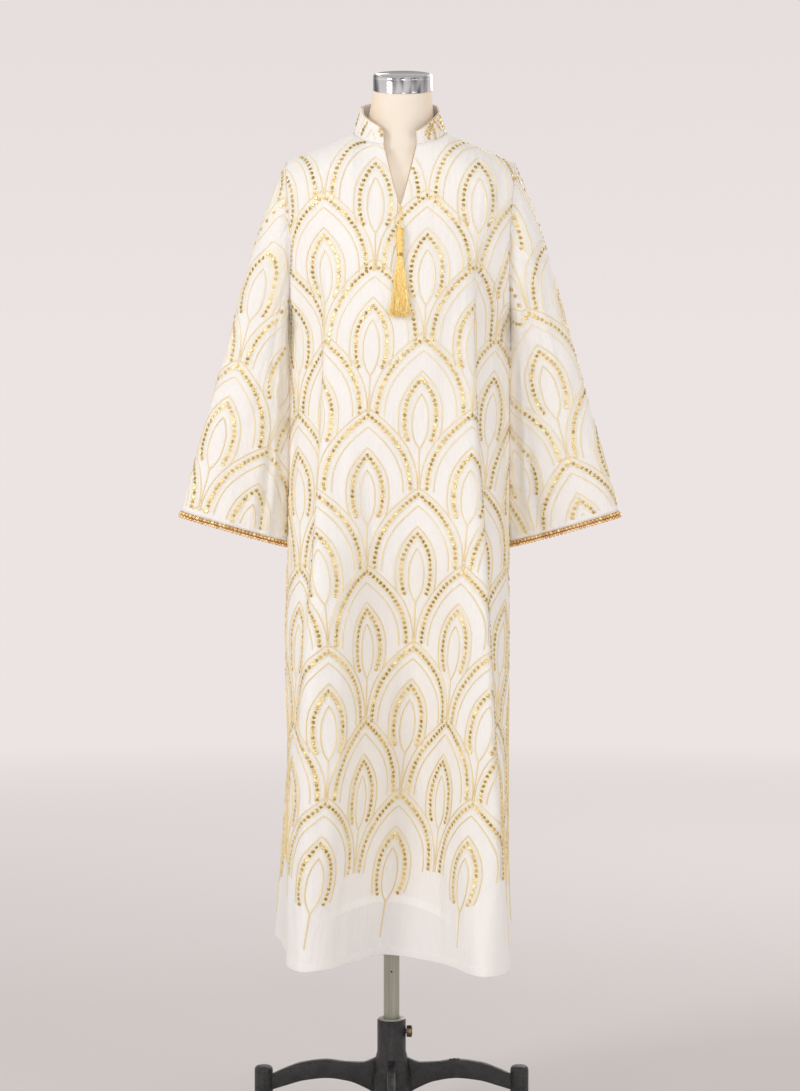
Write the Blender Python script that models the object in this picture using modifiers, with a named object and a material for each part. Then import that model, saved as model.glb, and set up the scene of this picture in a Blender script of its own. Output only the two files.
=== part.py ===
# A white embroidered abaya worn by a limbless dress form on a cast four-legged stand.
# Metres, +Z up, the front faces -Y. The stand's four feet rest on z = 0.

import math

import bmesh
import bpy
import numpy as np
from mathutils import Matrix, Vector

MM = 0.001

# Cloth
WALL = 1.5 * MM
SEAM_GAP = 0.3 * MM
HEM_HEIGHT = 320 * MM
HEM_CENTRE_LIFT = 8 * MM
HEM_LIFT_SHARE = 0.5
UNDERARM_HEIGHT = 1380 * MM

# Neck and shoulders
NECK_HALF_WIDTH = 78 * MM
NECK_HALF_DEPTH = 66 * MM
RIDGE_Y = 4 * MM
RIDGE_HEIGHT = 1716 * MM
RIDGE_SLOPE = 0.424
SHOULDER_TURN_X = 170 * MM
SHOULDER_TURN_BEND = 7.8
SHOULDER_ROUNDING = 70 * MM
NECK_FRONT_DROP = 19.5 * MM
NECK_BACK_RISE = 6.5 * MM
SLIT_HALF_WIDTH = 26.5 * MM
SLIT_BOTTOM_HEIGHT = 1591 * MM
SLIT_BEND = 1.15

# Rows and columns of the body panels, and the sleeves sewn to them
ARMHOLE_ROWS = 11
SKIRT_ROWS = 13
SLIT_COLUMNS = 2
NECK_FRONT_COLUMNS = 4
NECK_BACK_COLUMNS = 6
SHOULDER_COLUMNS = 7
SLEEVE_ROWS = 12
SLEEVE_SIDES = 2 * ARMHOLE_ROWS
SLEEVE_GAP = 0.5 * MM
SLEEVE_JOIN = 0.2
SLEEVE_ROW_SPREAD = 1.15
SLEEVE_FULLNESS = 0.85
CUFF_TRIM_HEIGHT = 9 * MM
CUFF_TRIM_THICKNESS = 4.4 * MM
CUFF_TRIM_SIDES = 6

# Collar
COLLAR_ROWS = 3
COLLAR_WALL = 1.8 * MM
COLLAR_SIDE_HEIGHT = 47 * MM
COLLAR_END_HEIGHT = 38 * MM
COLLAR_LEAN = 14 * MM
COLLAR_END_START = 0.1
COLLAR_END_UPRIGHT = 0.7

# Tassel
TASSEL_CLEARANCE = 0.7 * MM
TASSEL_FOOT_LIFT = 1.6 * MM
TASSEL_TOP_HEIGHT = 1562 * MM
TASSEL_HEAD_RADIUS = 5.7 * MM
TASSEL_WAIST_RADIUS = 3.7 * MM
TASSEL_HEAD_LENGTH = 46 * MM
TASSEL_BAND_HEIGHT = 6 * MM
TASSEL_BAND_WALL = 0.9 * MM
TASSEL_BAND_MARGIN = 0.7 * MM
TASSEL_SKIRT_LENGTH = 104 * MM
TASSEL_ROOT_ROUNDING = 0.65
TASSEL_FLATNESS = 0.8
TASSEL_ROOT_GAP = 0.05 * MM
TASSEL_STRANDS_ACROSS = 11
TASSEL_STRANDS_DEEP = 4
TASSEL_CORD_RADIUS = 1.3 * MM
TASSEL_CORD_START = 2 * MM

# Dress form and its stand
POLE_X = -14.5 * MM
POLE_RADIUS = 13.5 * MM
POLE_BOTTOM = 115 * MM
FORM_BOTTOM = 950 * MM
FORM_SIDES = 32
FORM_LEVEL = 1450 * MM
FORM_CLEARANCE = 0.8 * MM
NECK_TOP_HEIGHT = 1789 * MM
NECK_TOP_X = 4.5 * MM
NECK_TOP_TILT = math.radians(13)
NECK_TOP_RADIUS = 49.8 * MM
CAP_HEIGHT = 26.6 * MM
CAP_EDGE = 3 * MM
CAP_OVERHANG = 0.2 * MM
SOCKET_TOP = 206.5 * MM
SOCKET_RADIUS = 24.5 * MM
SOCKET_BORE = 20.5 * MM
BUSHING_LIP = 2.5 * MM
BUSHING_LENGTH = 60 * MM
BUSHING_SETBACK = 2.2 * MM
RUNNING_GAP = 0.3 * MM
BORE_OVERRUN = 30 * MM
BOSS_REACH = 219.5 * MM
BOSS_RADIUS = 15.7 * MM
BOSS_TOP = 126.7 * MM
BOSS_BOTTOM = 30 * MM
BOSS_EDGE = 2 * MM
FOOT_RADIUS = 19 * MM
FOOT_EDGE = 2 * MM
FOOT_RIM_HEIGHT = 9 * MM
ARM_HALF_THICKNESS = 7 * MM
ARM_ROUNDING = 2.5 * MM
SCREW_HEIGHT = 185.5 * MM
SCREW_SHAFT_RADIUS = 4 * MM
SCREW_HEAD_RADIUS = 10 * MM
SCREW_HEAD_LENGTH = 10 * MM
SCREW_EDGE = 1 * MM

# The front panel's vertical folds, as plan points in millimetres at each height.
# Each row: height, then x and y of the seam, side, valley, fold edge, crest and mid.
FRONT_LEFT_FOLD = (
    (1700, -193, -38, -168, -55, -148, -66, -122, -74, -85, -78, -45, -70),
    (1640, -190, -45, -166, -64, -147, -76, -122, -83, -88, -87, -45, -84),
    (1580, -185, -48, -165, -70, -146, -83, -122, -92, -88, -97, -45, -99),
    (1500, -182, -50, -163, -74, -140, -87, -121, -98, -88, -110, -45, -117),
    (1440, -184, -36, -162, -60, -128, -88, -119, -104, -85, -118, -45, -130),
    (1380, -186, 0, -163, -45, -127, -86, -122, -113, -85, -127, -45, -137),
    (1250, -185, 0, -166, -48, -130, -84, -126, -122, -88, -131, -45, -134),
    (1050, -188, 0, -176, -52, -141, -94, -138, -138, -95, -134, -50, -114),
    (850, -193, 0, -187, -55, -166, -105, -148, -148, -98, -135, -45, -80),
    (600, -188, 0, -186, -55, -181, -112, -158, -156, -108, -145, -55, -78),
    (320, -193, 0, -190, -55, -187, -112, -163, -158, -123, -146, -70, -85),
)
FRONT_RIGHT_FOLD = (
    (1700, 193, -38, 168, -55, 148, -66, 122, -74, 85, -78, 45, -70),
    (1640, 190, -45, 166, -64, 147, -76, 122, -83, 88, -87, 45, -84),
    (1580, 185, -48, 165, -70, 146, -83, 121, -92, 88, -97, 45, -99),
    (1500, 182, -50, 163, -72, 136, -85, 119, -99, 88, -110, 45, -117),
    (1440, 184, -36, 160, -55, 124, -84, 118, -104, 85, -118, 45, -130),
    (1380, 186, 0, 160, -40, 124, -80, 119, -112, 85, -124, 45, -136),
    (1250, 184, 0, 163, -42, 127, -80, 123, -122, 84, -130, 42, -134),
    (1050, 184, 0, 170, -42, 136, -85, 136, -142, 92, -140, 45, -120),
    (850, 184, 0, 174, -48, 148, -98, 146, -155, 100, -130, 60, -88),
    (600, 182, -5, 177, -55, 166, -112, 157, -172, 106, -145, 55, -74),
    (320, 180, -10, 177, -65, 182, -125, 174, -172, 136, -199, 65, -100),
)
# Each row: height, then x and y of the front's centre line.
FRONT_CENTRE = (
    (1700, 0, -66),
    (1640, 0, -82),
    (1580, 0, -98),
    (1500, 0, -118),
    (1440, 0, -132),
    (1380, 0, -140),
    (1250, 0, -136),
    (1050, 5, -112),
    (850, 8, -64),
    (600, -4, -42),
    (320, -32, -48),
)
# The back panel. Each row: height, then x and y of the seam, side, corner, bulge and mid.
BACK_LEFT_FOLD = (
    (1700, -193, 38, -165, 58, -122, 72, -85, 76, -45, 70),
    (1640, -190, 44, -165, 68, -125, 82, -88, 86, -45, 84),
    (1580, -186, 48, -163, 75, -125, 90, -88, 97, -45, 97),
    (1500, -183, 50, -160, 80, -125, 98, -88, 106, -45, 107),
    (1440, -185, 36, -162, 72, -126, 98, -90, 108, -45, 109),
    (1380, -186, 0, -165, 62, -130, 98, -92, 108, -45, 107),
    (1250, -185, 0, -168, 62, -138, 98, -98, 106, -48, 100),
    (1050, -188, 0, -176, 66, -150, 108, -105, 118, -52, 104),
    (850, -193, 0, -186, 70, -168, 128, -115, 142, -58, 118),
    (600, -188, 0, -194, 85, -190, 158, -128, 178, -64, 142),
    (320, -193, 0, -206, 100, -216, 192, -150, 215, -70, 160),
)
BACK_RIGHT_FOLD = (
    (1700, 193, 38, 165, 58, 122, 72, 85, 76, 45, 70),
    (1640, 190, 44, 165, 68, 125, 82, 88, 86, 45, 84),
    (1580, 186, 48, 163, 75, 125, 90, 88, 97, 45, 97),
    (1500, 183, 50, 160, 80, 125, 98, 88, 106, 45, 107),
    (1440, 185, 36, 162, 72, 126, 98, 90, 108, 45, 109),
    (1380, 186, 0, 165, 62, 130, 98, 92, 108, 45, 107),
    (1250, 184, 0, 166, 60, 136, 96, 98, 105, 48, 101),
    (1050, 184, 0, 172, 62, 145, 103, 105, 114, 54, 106),
    (850, 184, 0, 178, 62, 156, 118, 112, 135, 60, 120),
    (600, 182, -5, 184, 65, 172, 130, 125, 160, 66, 140),
    (320, 180, -10, 188, 70, 192, 142, 140, 190, 72, 155),
)
BACK_CENTRE = (
    (1700, 0, 70),
    (1640, 0, 86),
    (1580, 0, 99),
    (1500, 0, 108),
    (1440, 0, 110),
    (1380, 0, 107),
    (1250, 0, 100),
    (1050, 0, 108),
    (850, 0, 128),
    (600, 0, 152),
    (320, 0, 178),
)

# The tassel's turned head in millimetres, up from its waist. Each row: depth below the
# head's top, then radius.
TASSEL_HEAD = ((46, 3.7), (43, 5.1), (23, 5.7), (5, 4.8), (0, 1.7))
# The tassel's strands in millimetres. Each row: share of the strand's length, half width
# and half depth of the bunch there, how much thicker the strand grows, and how uneven.
TASSEL_SPREAD = (
    (0.4, 9.5, 4.0, 1.4, 0.0),
    (1.0, 17.5, 5.8, 1.75, 2.5),
)

# Sleeve sections in millimetres. Each row: how far down the sleeve from 0 to 1,
# the outer edge's x and height, the inner edge's x and height, and half the depth.
SLEEVE_SECTIONS = (
    (0.00, 196.5, 1661, 187.9, 1378.5, 50),
    (0.12, 222, 1600, 189.2, 1345, 58),
    (0.30, 252, 1505, 189.6, 1270, 52),
    (0.50, 288, 1380, 190.4, 1190, 45),
    (0.75, 330, 1228, 192.6, 1105, 39),
    (1.00, 371.5, 1079, 197.5, 1027, 33),
)

# The dress form below the shoulders, in millimetres.
# Each row: height, half width, front depth and back depth.
FORM_TORSO = (
    (950, 136, 68, 96),
    (990, 147, 78, 104),
    (1040, 147, 86, 101),
    (1110, 132, 86, 88),
    (1180, 118, 82, 78),
    (1280, 130, 94, 80),
    (1380, 148, 108, 88),
    (1450, 157, 103, 93),
    (1520, 166, 90, 90),
    (1580, 174, 78, 80),
    (1620, 178, 68, 70),
    (1650, 178, 62, 64),
)
# The form's shoulder sections, each at a distance x out on the shoulder ridge. They thin
# towards x by the taper. Each row: x, front depth, back depth and taper.
FORM_SHOULDERS = (
    (169, 56, 58, 1.3),
    (156, 57, 59, 1.5),
    (134, 55, 58, 2.0),
    (110, 54, 57, 2.6),
    (88, 53, 56, 3.2),
)
# The form's neck. Each row: height, half width, front depth, back depth and taper.
FORM_NECK = (
    (1722, 66, 52, 56, 2.2),
    (1737, 57, 51, 54, 1.3),
    (1757, 53, 50.5, 52, 1.0),
)

# The cast arm's side outline in millimetres: distance from the pole, then height.
ARM_TOP_EDGE = (
    (16, 146), (30, 139), (50, 132), (78, 133), (111, 137), (153, 132), (182, 122), (208, 110),
)
ARM_LOWER_EDGE = (
    (208, 84), (182, 92), (150, 101), (111, 105), (75, 100), (45, 88), (16, 70),
)
# The hub's turned profile: radius, then height, down its outer side.
HUB_PROFILE = (
    (24.5, 206.5), (24.5, 152), (27, 142), (31, 130), (34, 112),
    (34, 92), (30, 76), (30, 24), (20.5, 24), (20.5, 206.5),
)


def new_collection(name):
    collection = bpy.data.collections.new(name)
    bpy.context.scene.collection.children.link(collection)
    return collection


def material(name, color, roughness, metallic=0.0):
    made = bpy.data.materials.new(name)
    made.use_nodes = True
    shader = made.node_tree.nodes["Principled BSDF"]
    shader.inputs["Base Color"].default_value = (*color, 1.0)
    shader.inputs["Roughness"].default_value = roughness
    shader.inputs["Metallic"].default_value = metallic
    return made


def add_mesh(name, points, faces, surface, collection):
    mesh = bpy.data.meshes.new(name)
    mesh.from_pydata([tuple(point) for point in points], [], faces)
    mesh.update()
    made = bpy.data.objects.new(name, mesh)
    collection.objects.link(made)
    mesh.materials.append(surface)
    mesh.shade_smooth()
    return made


def add_wall(made, thickness, offset):
    wall = made.modifiers.new("Wall", "SOLIDIFY")
    wall.thickness = thickness
    wall.offset = offset
    wall.use_even_offset = False


def grid_faces(rows, columns, closed=False, flip=False):
    """Quads between neighbouring rows of points; closed joins the last column to the first."""
    faces = []
    for row in range(rows - 1):
        for column in range(columns if closed else columns - 1):
            after = (column + 1) % columns
            corners = (
                row * columns + column,
                row * columns + after,
                (row + 1) * columns + after,
                (row + 1) * columns + column,
            )
            faces.append(corners[::-1] if flip else corners)
    return faces


def hermite(start, end, start_slope, end_slope, step, fraction):
    f2 = fraction * fraction
    f3 = f2 * fraction
    return (
        (2 * f3 - 3 * f2 + 1) * start
        + (f3 - 2 * f2 + fraction) * step * start_slope
        + (3 * f2 - 2 * f3) * end
        + (f3 - f2) * step * end_slope
    )


def even_slopes(rows):
    """Slopes at each row that keep the columns from swinging past their own values."""
    rise = np.diff(rows[:, 1:], axis=0) / np.diff(rows[:, :1], axis=0)
    slopes = np.zeros_like(rows[:, 1:])
    slopes[0] = rise[0]
    slopes[-1] = rise[-1]
    turning = rise[:-1] * rise[1:] <= 0
    total = np.where(turning, 1.0, rise[:-1] + rise[1:])
    slopes[1:-1] = np.where(turning, 0.0, 2 * rise[:-1] * rise[1:] / total)
    return slopes


def read_table(table, place):
    """The table's other columns at a place along its first column, smoothly between rows."""
    rows = np.array(table, dtype=float)
    if rows[0, 0] > rows[-1, 0]:
        rows = rows[::-1]
    place = min(max(place, rows[0, 0]), rows[-1, 0])
    slopes = even_slopes(rows)
    below = int(np.clip(np.searchsorted(rows[:, 0], place, side="right") - 1, 0, len(rows) - 2))
    step = rows[below + 1, 0] - rows[below, 0]
    fraction = (place - rows[below, 0]) / step
    return hermite(
        rows[below, 1:], rows[below + 1, 1:], slopes[below], slopes[below + 1], step, fraction
    )


def curve_through(points, per_span=10):
    """A smooth polyline through the inner points; the first and last only steer its ends."""
    line = []
    for before, start, end, after in zip(points, points[1:], points[2:], points[3:]):
        spans = [
            max(math.sqrt(np.linalg.norm(b - a)), 1e-6)
            for a, b in ((before, start), (start, end), (end, after))
        ]
        knots = np.concatenate(([0.0], np.cumsum(spans)))
        for step in range(per_span):
            t = knots[1] + (knots[2] - knots[1]) * step / per_span
            a1 = (before * (knots[1] - t) + start * (t - knots[0])) / (knots[1] - knots[0])
            a2 = (start * (knots[2] - t) + end * (t - knots[1])) / (knots[2] - knots[1])
            a3 = (end * (knots[3] - t) + after * (t - knots[2])) / (knots[3] - knots[2])
            b1 = (a1 * (knots[2] - t) + a2 * (t - knots[0])) / (knots[2] - knots[0])
            b2 = (a2 * (knots[3] - t) + a3 * (t - knots[1])) / (knots[3] - knots[1])
            line.append((b1 * (knots[2] - t) + b2 * (t - knots[1])) / (knots[2] - knots[1]))
    line.append(points[-2])
    return np.array(line)


def plan_points(table, height):
    return read_table(table, height / MM).reshape(-1, 2) * MM


class PanelSection:
    """One body panel cut at a height: plan points by their share of the cloth's width."""

    def __init__(self, height, front):
        left, right, centre = (
            (FRONT_LEFT_FOLD, FRONT_RIGHT_FOLD, FRONT_CENTRE)
            if front
            else (BACK_LEFT_FOLD, BACK_RIGHT_FOLD, BACK_CENTRE)
        )
        beyond_left, beyond_right = (
            (BACK_LEFT_FOLD, BACK_RIGHT_FOLD) if front else (FRONT_LEFT_FOLD, FRONT_RIGHT_FOLD)
        )
        left_points = plan_points(left, height)
        right_points = plan_points(right, height)
        points = [
            plan_points(beyond_left, height)[1],
            *left_points,
            plan_points(centre, height)[0],
            *right_points[::-1],
            plan_points(beyond_right, height)[1],
        ]
        self.line = curve_through(points)
        steps = np.linalg.norm(np.diff(self.line, axis=0), axis=1)
        along = np.concatenate(([0.0], np.cumsum(steps)))
        self.along = along - along[len(left_points) * 10]

    def width(self, side):
        return self.along[-1] if side > 0 else -self.along[0]

    def at(self, share):
        place = share * self.width(share)
        return np.array([np.interp(place, self.along, self.line[:, axis]) for axis in (0, 1)])

    def share_of_x(self, x):
        shares = np.linspace(0, 1, 201)
        xs = [self.at(share)[0] for share in shares]
        return float(np.interp(x, xs, shares))


SECTIONS = {}


def section(height, front):
    key = (round(height, 5), front)
    if key not in SECTIONS:
        SECTIONS[key] = PanelSection(height, front)
    return SECTIONS[key]


def neckline(x, front):
    """The neck seam's y and height above x, where it runs round the neck."""
    out = min(abs(x) / NECK_HALF_WIDTH, 1.0)
    turn = math.sqrt(1 - out * out) * (1 if front else -1)
    y = RIDGE_Y - NECK_HALF_DEPTH * turn
    return y, RIDGE_HEIGHT - NECK_FRONT_DROP * turn - NECK_BACK_RISE * turn * turn


def ridge(x, front):
    """The panel's top edge above x: the neck seam, then the shoulder seam."""
    if abs(x) < NECK_HALF_WIDTH:
        return neckline(x, front)
    fall = RIDGE_SLOPE * (abs(x) - NECK_HALF_WIDTH)
    turn = max(abs(x) - SHOULDER_TURN_X, 0.0)
    return RIDGE_Y, RIDGE_HEIGHT - fall - SHOULDER_TURN_BEND * turn * turn


def panel_point(share, height, front):
    """A point of the panel's inner face."""
    x, y = section(height, front).at(share)
    top_y, top = ridge(x, front)
    down = min(max((top - height) / SHOULDER_ROUNDING, 0.0), 1.0)
    rounding = math.sqrt(1 - (1 - down) ** 2)
    parting = -SEAM_GAP / 2 if front else SEAM_GAP / 2
    return np.array([x, top_y + (y - top_y) * rounding + parting, height])


def outward(share, height, front):
    """The unit direction out of the cloth at a point of the panel."""
    step = 2 * MM
    share_step = 0.01
    inner = share - share_step if share > 0.5 else share
    across = panel_point(inner + share_step, height, front) - panel_point(inner, height, front)
    down = panel_point(share, height - step, front) - panel_point(share, height, front)
    normal = np.cross(down, across) if front else np.cross(across, down)
    return normal / np.linalg.norm(normal)


def top_height(share, front):
    """Where the panel's top edge crosses a column of the cloth."""
    height = RIDGE_HEIGHT
    for _ in range(12):
        x = section(height, front).at(share)[0]
        height = ridge(x, front)[1]
        if front and abs(x) < SLIT_HALF_WIDTH:
            opened = (abs(x) / SLIT_HALF_WIDTH) ** SLIT_BEND
            height = SLIT_BOTTOM_HEIGHT + (height - SLIT_BOTTOM_HEIGHT) * opened
    return height


def neck_turns(front):
    """Angles from the front or back centre round to the neck's side, one for each column."""
    if front:
        start = math.asin(SLIT_HALF_WIDTH / NECK_HALF_WIDTH)
        return np.linspace(start, math.pi / 2, NECK_FRONT_COLUMNS + 1)
    return np.linspace(0, math.pi / 2, NECK_BACK_COLUMNS + 1)


def column_shares(front):
    """Column places from the centre line out to the side, matching the neck's columns."""
    upper = section(RIDGE_HEIGHT - NECK_FRONT_DROP, front)
    neck = [upper.share_of_x(NECK_HALF_WIDTH * math.sin(turn)) for turn in neck_turns(front)]
    slit = np.linspace(0, neck[0], SLIT_COLUMNS + 1)[:-1] if front else []
    shoulder = np.linspace(neck[-1], 1, SHOULDER_COLUMNS + 1)[1:]
    half = np.concatenate((slit, neck, shoulder))
    return np.concatenate((-half[:0:-1], half))


def armhole_fall(row):
    """The share of the armhole's height that lies above one of its rows."""
    return (1 - math.cos(math.pi * row / ARMHOLE_ROWS)) / 2


def row_heights(top, hem):
    """Rows to the underarm, closer together at both its ends, then evenly to the hem."""
    rows = [top - (top - UNDERARM_HEIGHT) * armhole_fall(row) for row in range(ARMHOLE_ROWS + 1)]
    for row in range(SKIRT_ROWS):
        rows.append(UNDERARM_HEIGHT + (hem - UNDERARM_HEIGHT) * (row + 1) / SKIRT_ROWS)
    return rows


def body_panel(name, front, surface, collection):
    columns = []
    for share in column_shares(front):
        lift = HEM_CENTRE_LIFT * max(0.0, 1 - abs(share) / HEM_LIFT_SHARE) if front else 0.0
        heights = row_heights(top_height(share, front), HEM_HEIGHT + lift)
        columns.append([panel_point(share, height, front) for height in heights])
    points = [columns[c][r] for r in range(len(columns[0])) for c in range(len(columns))]
    faces = grid_faces(len(columns[0]), len(columns), flip=front)
    made = add_mesh(name, points, faces, surface, collection)
    add_wall(made, WALL, 1.0)
    return made


def armhole_edge(side, row, front):
    """A point on a panel's outer face, where the sleeve is sewn to it."""
    top = top_height(side, True)
    height = top - (top - UNDERARM_HEIGHT) * armhole_fall(row)
    return panel_point(side, height, front) + outward(side, height, front) * WALL


def armhole_ring(side):
    """The sleeve's first ring: down the armhole's front edge and up its back edge."""
    front = [armhole_edge(side, row, True) for row in range(ARMHOLE_ROWS + 1)]
    back = [armhole_edge(side, row, False) for row in range(ARMHOLE_ROWS + 1)]
    ring = [(front[0] + back[0]) / 2, *front[1:-1], (front[-1] + back[-1]) / 2, *back[-2:0:-1]]
    return [point + np.array((side * SLEEVE_GAP, 0, 0)) for point in ring]


def sleeve_point(side, along, turn):
    """A point of the sleeve's outer face, on a flattened ring across the sleeve."""
    outer_x, outer_z, inner_x, inner_z, depth = read_table(SLEEVE_SECTIONS, along) * MM
    out = (1 + math.cos(turn)) / 2
    x = inner_x + (outer_x - inner_x) * out
    z = inner_z + (outer_z - inner_z) * out
    swell = math.copysign(abs(math.sin(turn)) ** SLEEVE_FULLNESS, math.sin(turn))
    return np.array([side * x, -depth * swell, z])


def sleeve(name, side, surface, collection):
    start = armhole_ring(side)
    points = []
    for row in range(SLEEVE_ROWS):
        along = (row / (SLEEVE_ROWS - 1)) ** SLEEVE_ROW_SPREAD
        blend = min(along / SLEEVE_JOIN, 1.0)
        blend = blend * blend * (3 - 2 * blend)
        for step in range(SLEEVE_SIDES):
            plain = sleeve_point(side, along, math.tau * step / SLEEVE_SIDES)
            points.append(start[step] * (1 - blend) + plain * blend)
    faces = grid_faces(SLEEVE_ROWS, SLEEVE_SIDES, closed=True, flip=side < 0)
    made = add_mesh(name, points, faces, surface, collection)
    add_wall(made, WALL, -1.0)
    return made


def cuff_trim(name, side, surface, collection):
    """A band of two bead rows, hung from the cuff's edge."""
    ring = [sleeve_point(side, 1.0, math.tau * step / SLEEVE_SIDES) for step in range(SLEEVE_SIDES)]
    centre = sum(ring) / len(ring)
    across = sleeve_point(side, 1.0, 0.0) - sleeve_point(side, 1.0, math.pi)
    down = np.cross((0, side, 0), across)
    down = down / np.linalg.norm(down)
    points = []
    for step, rim in enumerate(ring):
        before = ring[step - 1]
        after = ring[(step + 1) % len(ring)]
        out = np.cross(after - before, down)
        out = out / np.linalg.norm(out)
        if np.dot(out, rim - centre) < 0:
            out = -out
        middle = rim - out * WALL / 2 + down * (SEAM_GAP + CUFF_TRIM_HEIGHT / 2)
        for corner in range(CUFF_TRIM_SIDES):
            turn = math.tau * (corner + 0.5) / CUFF_TRIM_SIDES
            points.append(
                middle
                + out * CUFF_TRIM_THICKNESS / 2 * math.cos(turn)
                + down * CUFF_TRIM_HEIGHT / 2 * math.sin(turn)
            )
    faces = []
    for step in range(SLEEVE_SIDES):
        for corner in range(CUFF_TRIM_SIDES):
            here = step * CUFF_TRIM_SIDES
            there = (step + 1) % SLEEVE_SIDES * CUFF_TRIM_SIDES
            after = (corner + 1) % CUFF_TRIM_SIDES
            faces.append((here + corner, there + corner, there + after, here + after))
    made = add_mesh(name, points, faces, surface, collection)
    face_outward(made)
    return made


def face_outward(made):
    work = bmesh.new()
    work.from_mesh(made.data)
    bmesh.ops.recalc_face_normals(work, faces=work.faces)
    work.to_mesh(made.data)
    work.free()


def collar(surface, collection):
    """A stand-up band round the neck seam, open at the front."""
    front = list(neck_turns(True))
    side = [math.pi - turn for turn in neck_turns(False)[-2::-1]]
    half = front + side
    turns = half + [math.tau - turn for turn in half[-2::-1]]
    points = []
    for row in range(COLLAR_ROWS + 1):
        up = row / COLLAR_ROWS
        for turn in turns:
            forward = math.cos(turn)
            x = NECK_HALF_WIDTH * math.sin(turn)
            y = RIDGE_Y - NECK_HALF_DEPTH * forward
            base = RIDGE_HEIGHT - NECK_FRONT_DROP * forward - NECK_BACK_RISE * forward ** 2
            end_forward = math.cos(front[0])
            endness = (forward - COLLAR_END_START) / (end_forward - COLLAR_END_START)
            endness = max(0.0, endness)
            tall = COLLAR_SIDE_HEIGHT + (COLLAR_END_HEIGHT - COLLAR_SIDE_HEIGHT) * endness
            lean = COLLAR_LEAN * up * (1 - COLLAR_END_UPRIGHT * endness)
            points.append((
                -x * (1 - lean / NECK_HALF_WIDTH),
                RIDGE_Y + (y - RIDGE_Y) * (1 - lean / NECK_HALF_WIDTH),
                base + WALL + SEAM_GAP + tall * up,
            ))
    faces = grid_faces(COLLAR_ROWS + 1, len(turns), flip=True)
    made = add_mesh("collar", points, faces, surface, collection)
    add_wall(made, COLLAR_WALL, -1.0)
    return made


def tassel_frame():
    """The tassel's own axes: its origin at the head's top, -Z down the cloth's slope."""
    clear = WALL + TASSEL_CLEARANCE + TASSEL_HEAD_RADIUS
    low_height = TASSEL_TOP_HEIGHT - TASSEL_HEAD_LENGTH - TASSEL_SKIRT_LENGTH
    top = Vector(panel_point(0.0, TASSEL_TOP_HEIGHT, True)) + Vector((0, -clear, 0))
    low = Vector(panel_point(0.0, low_height, True)) + Vector((0, -clear - TASSEL_FOOT_LIFT, 0))
    up = (top - low).normalized()
    across = Vector((1, 0, 0))
    forward = up.cross(across).normalized()
    across = forward.cross(up)
    turned = Matrix((across, forward, up)).transposed().to_4x4()
    return Matrix.Translation(top) @ turned


def tassel(surface, collection):
    """The wound head with its strands, which are fused to it at their roots."""
    work = bmesh.new()
    bmesh.ops.create_grid(
        work, x_segments=TASSEL_STRANDS_ACROSS, y_segments=TASSEL_STRANDS_DEEP, size=1.0
    )
    waist = -TASSEL_HEAD_LENGTH - TASSEL_BAND_HEIGHT
    reach_x = TASSEL_WAIST_RADIUS
    reach_y = TASSEL_WAIST_RADIUS * TASSEL_FLATNESS
    for vert in work.verts:
        square = max(abs(vert.co.x), abs(vert.co.y), 1e-6)
        rounded = square / max(math.hypot(vert.co.x, vert.co.y), 1e-6)
        drawn_in = 1 - TASSEL_ROOT_ROUNDING * (1 - rounded)
        vert.co = (vert.co.x * reach_x * drawn_in, vert.co.y * reach_y * drawn_in, waist)
    bmesh.ops.reverse_faces(work, faces=work.faces[:])
    strands = work.faces[:]
    rim = [edge for edge in work.edges if edge.is_boundary]
    for depth, radius in TASSEL_HEAD:
        extruded = bmesh.ops.extrude_edge_only(work, edges=rim)["geom"]
        rim = [part for part in extruded if isinstance(part, bmesh.types.BMEdge)]
        for vert in (part for part in extruded if isinstance(part, bmesh.types.BMVert)):
            turn = math.atan2(vert.co.y, vert.co.x)
            vert.co = Vector((radius * math.cos(turn), radius * math.sin(turn), -depth)) * MM
    bmesh.ops.contextual_create(work, geom=rim)
    bmesh.ops.inset_individual(
        work, faces=strands, thickness=TASSEL_ROOT_GAP, use_even_offset=True
    )
    for share, half_width, half_depth, thicker, uneven in TASSEL_SPREAD:
        strands = bmesh.ops.extrude_discrete_faces(work, faces=strands)["faces"]
        for strand in strands:
            middle = strand.calc_center_median()
            across = middle.x / reach_x
            deep = middle.y / reach_y
            fall = TASSEL_SKIRT_LENGTH * share - uneven * MM * math.sin(9 * across + 5 * deep)
            target = Vector((across * half_width * MM, deep * half_depth * MM, waist - fall))
            for vert in strand.verts:
                vert.co = target + (vert.co - middle) * thicker
        reach_x = half_width * MM
        reach_y = half_depth * MM
    bmesh.ops.recalc_face_normals(work, faces=work.faces)
    mesh = bpy.data.meshes.new("tassel")
    work.to_mesh(mesh)
    work.free()
    mesh.materials.append(surface)
    made = bpy.data.objects.new("tassel", mesh)
    collection.objects.link(made)
    made.matrix_world = tassel_frame()
    return made


def turned(name, profile, steps, surface, collection, close=True):
    """A solid of revolution about Z from a profile of (radius, height), down its outer side."""
    points = [(radius, 0.0, height) for radius, height in profile]
    edges = [(i, i + 1) for i in range(len(points) - 1)]
    if close:
        edges.append((len(points) - 1, 0))
    mesh = bpy.data.meshes.new(name)
    mesh.from_pydata(points, edges, [])
    made = bpy.data.objects.new(name, mesh)
    collection.objects.link(made)
    mesh.materials.append(surface)
    spin = made.modifiers.new("Spin", "SCREW")
    spin.steps = steps
    spin.render_steps = steps
    spin.use_merge_vertices = True
    spin.merge_threshold = 0.00005
    spin.use_smooth_shade = True
    return made


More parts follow.
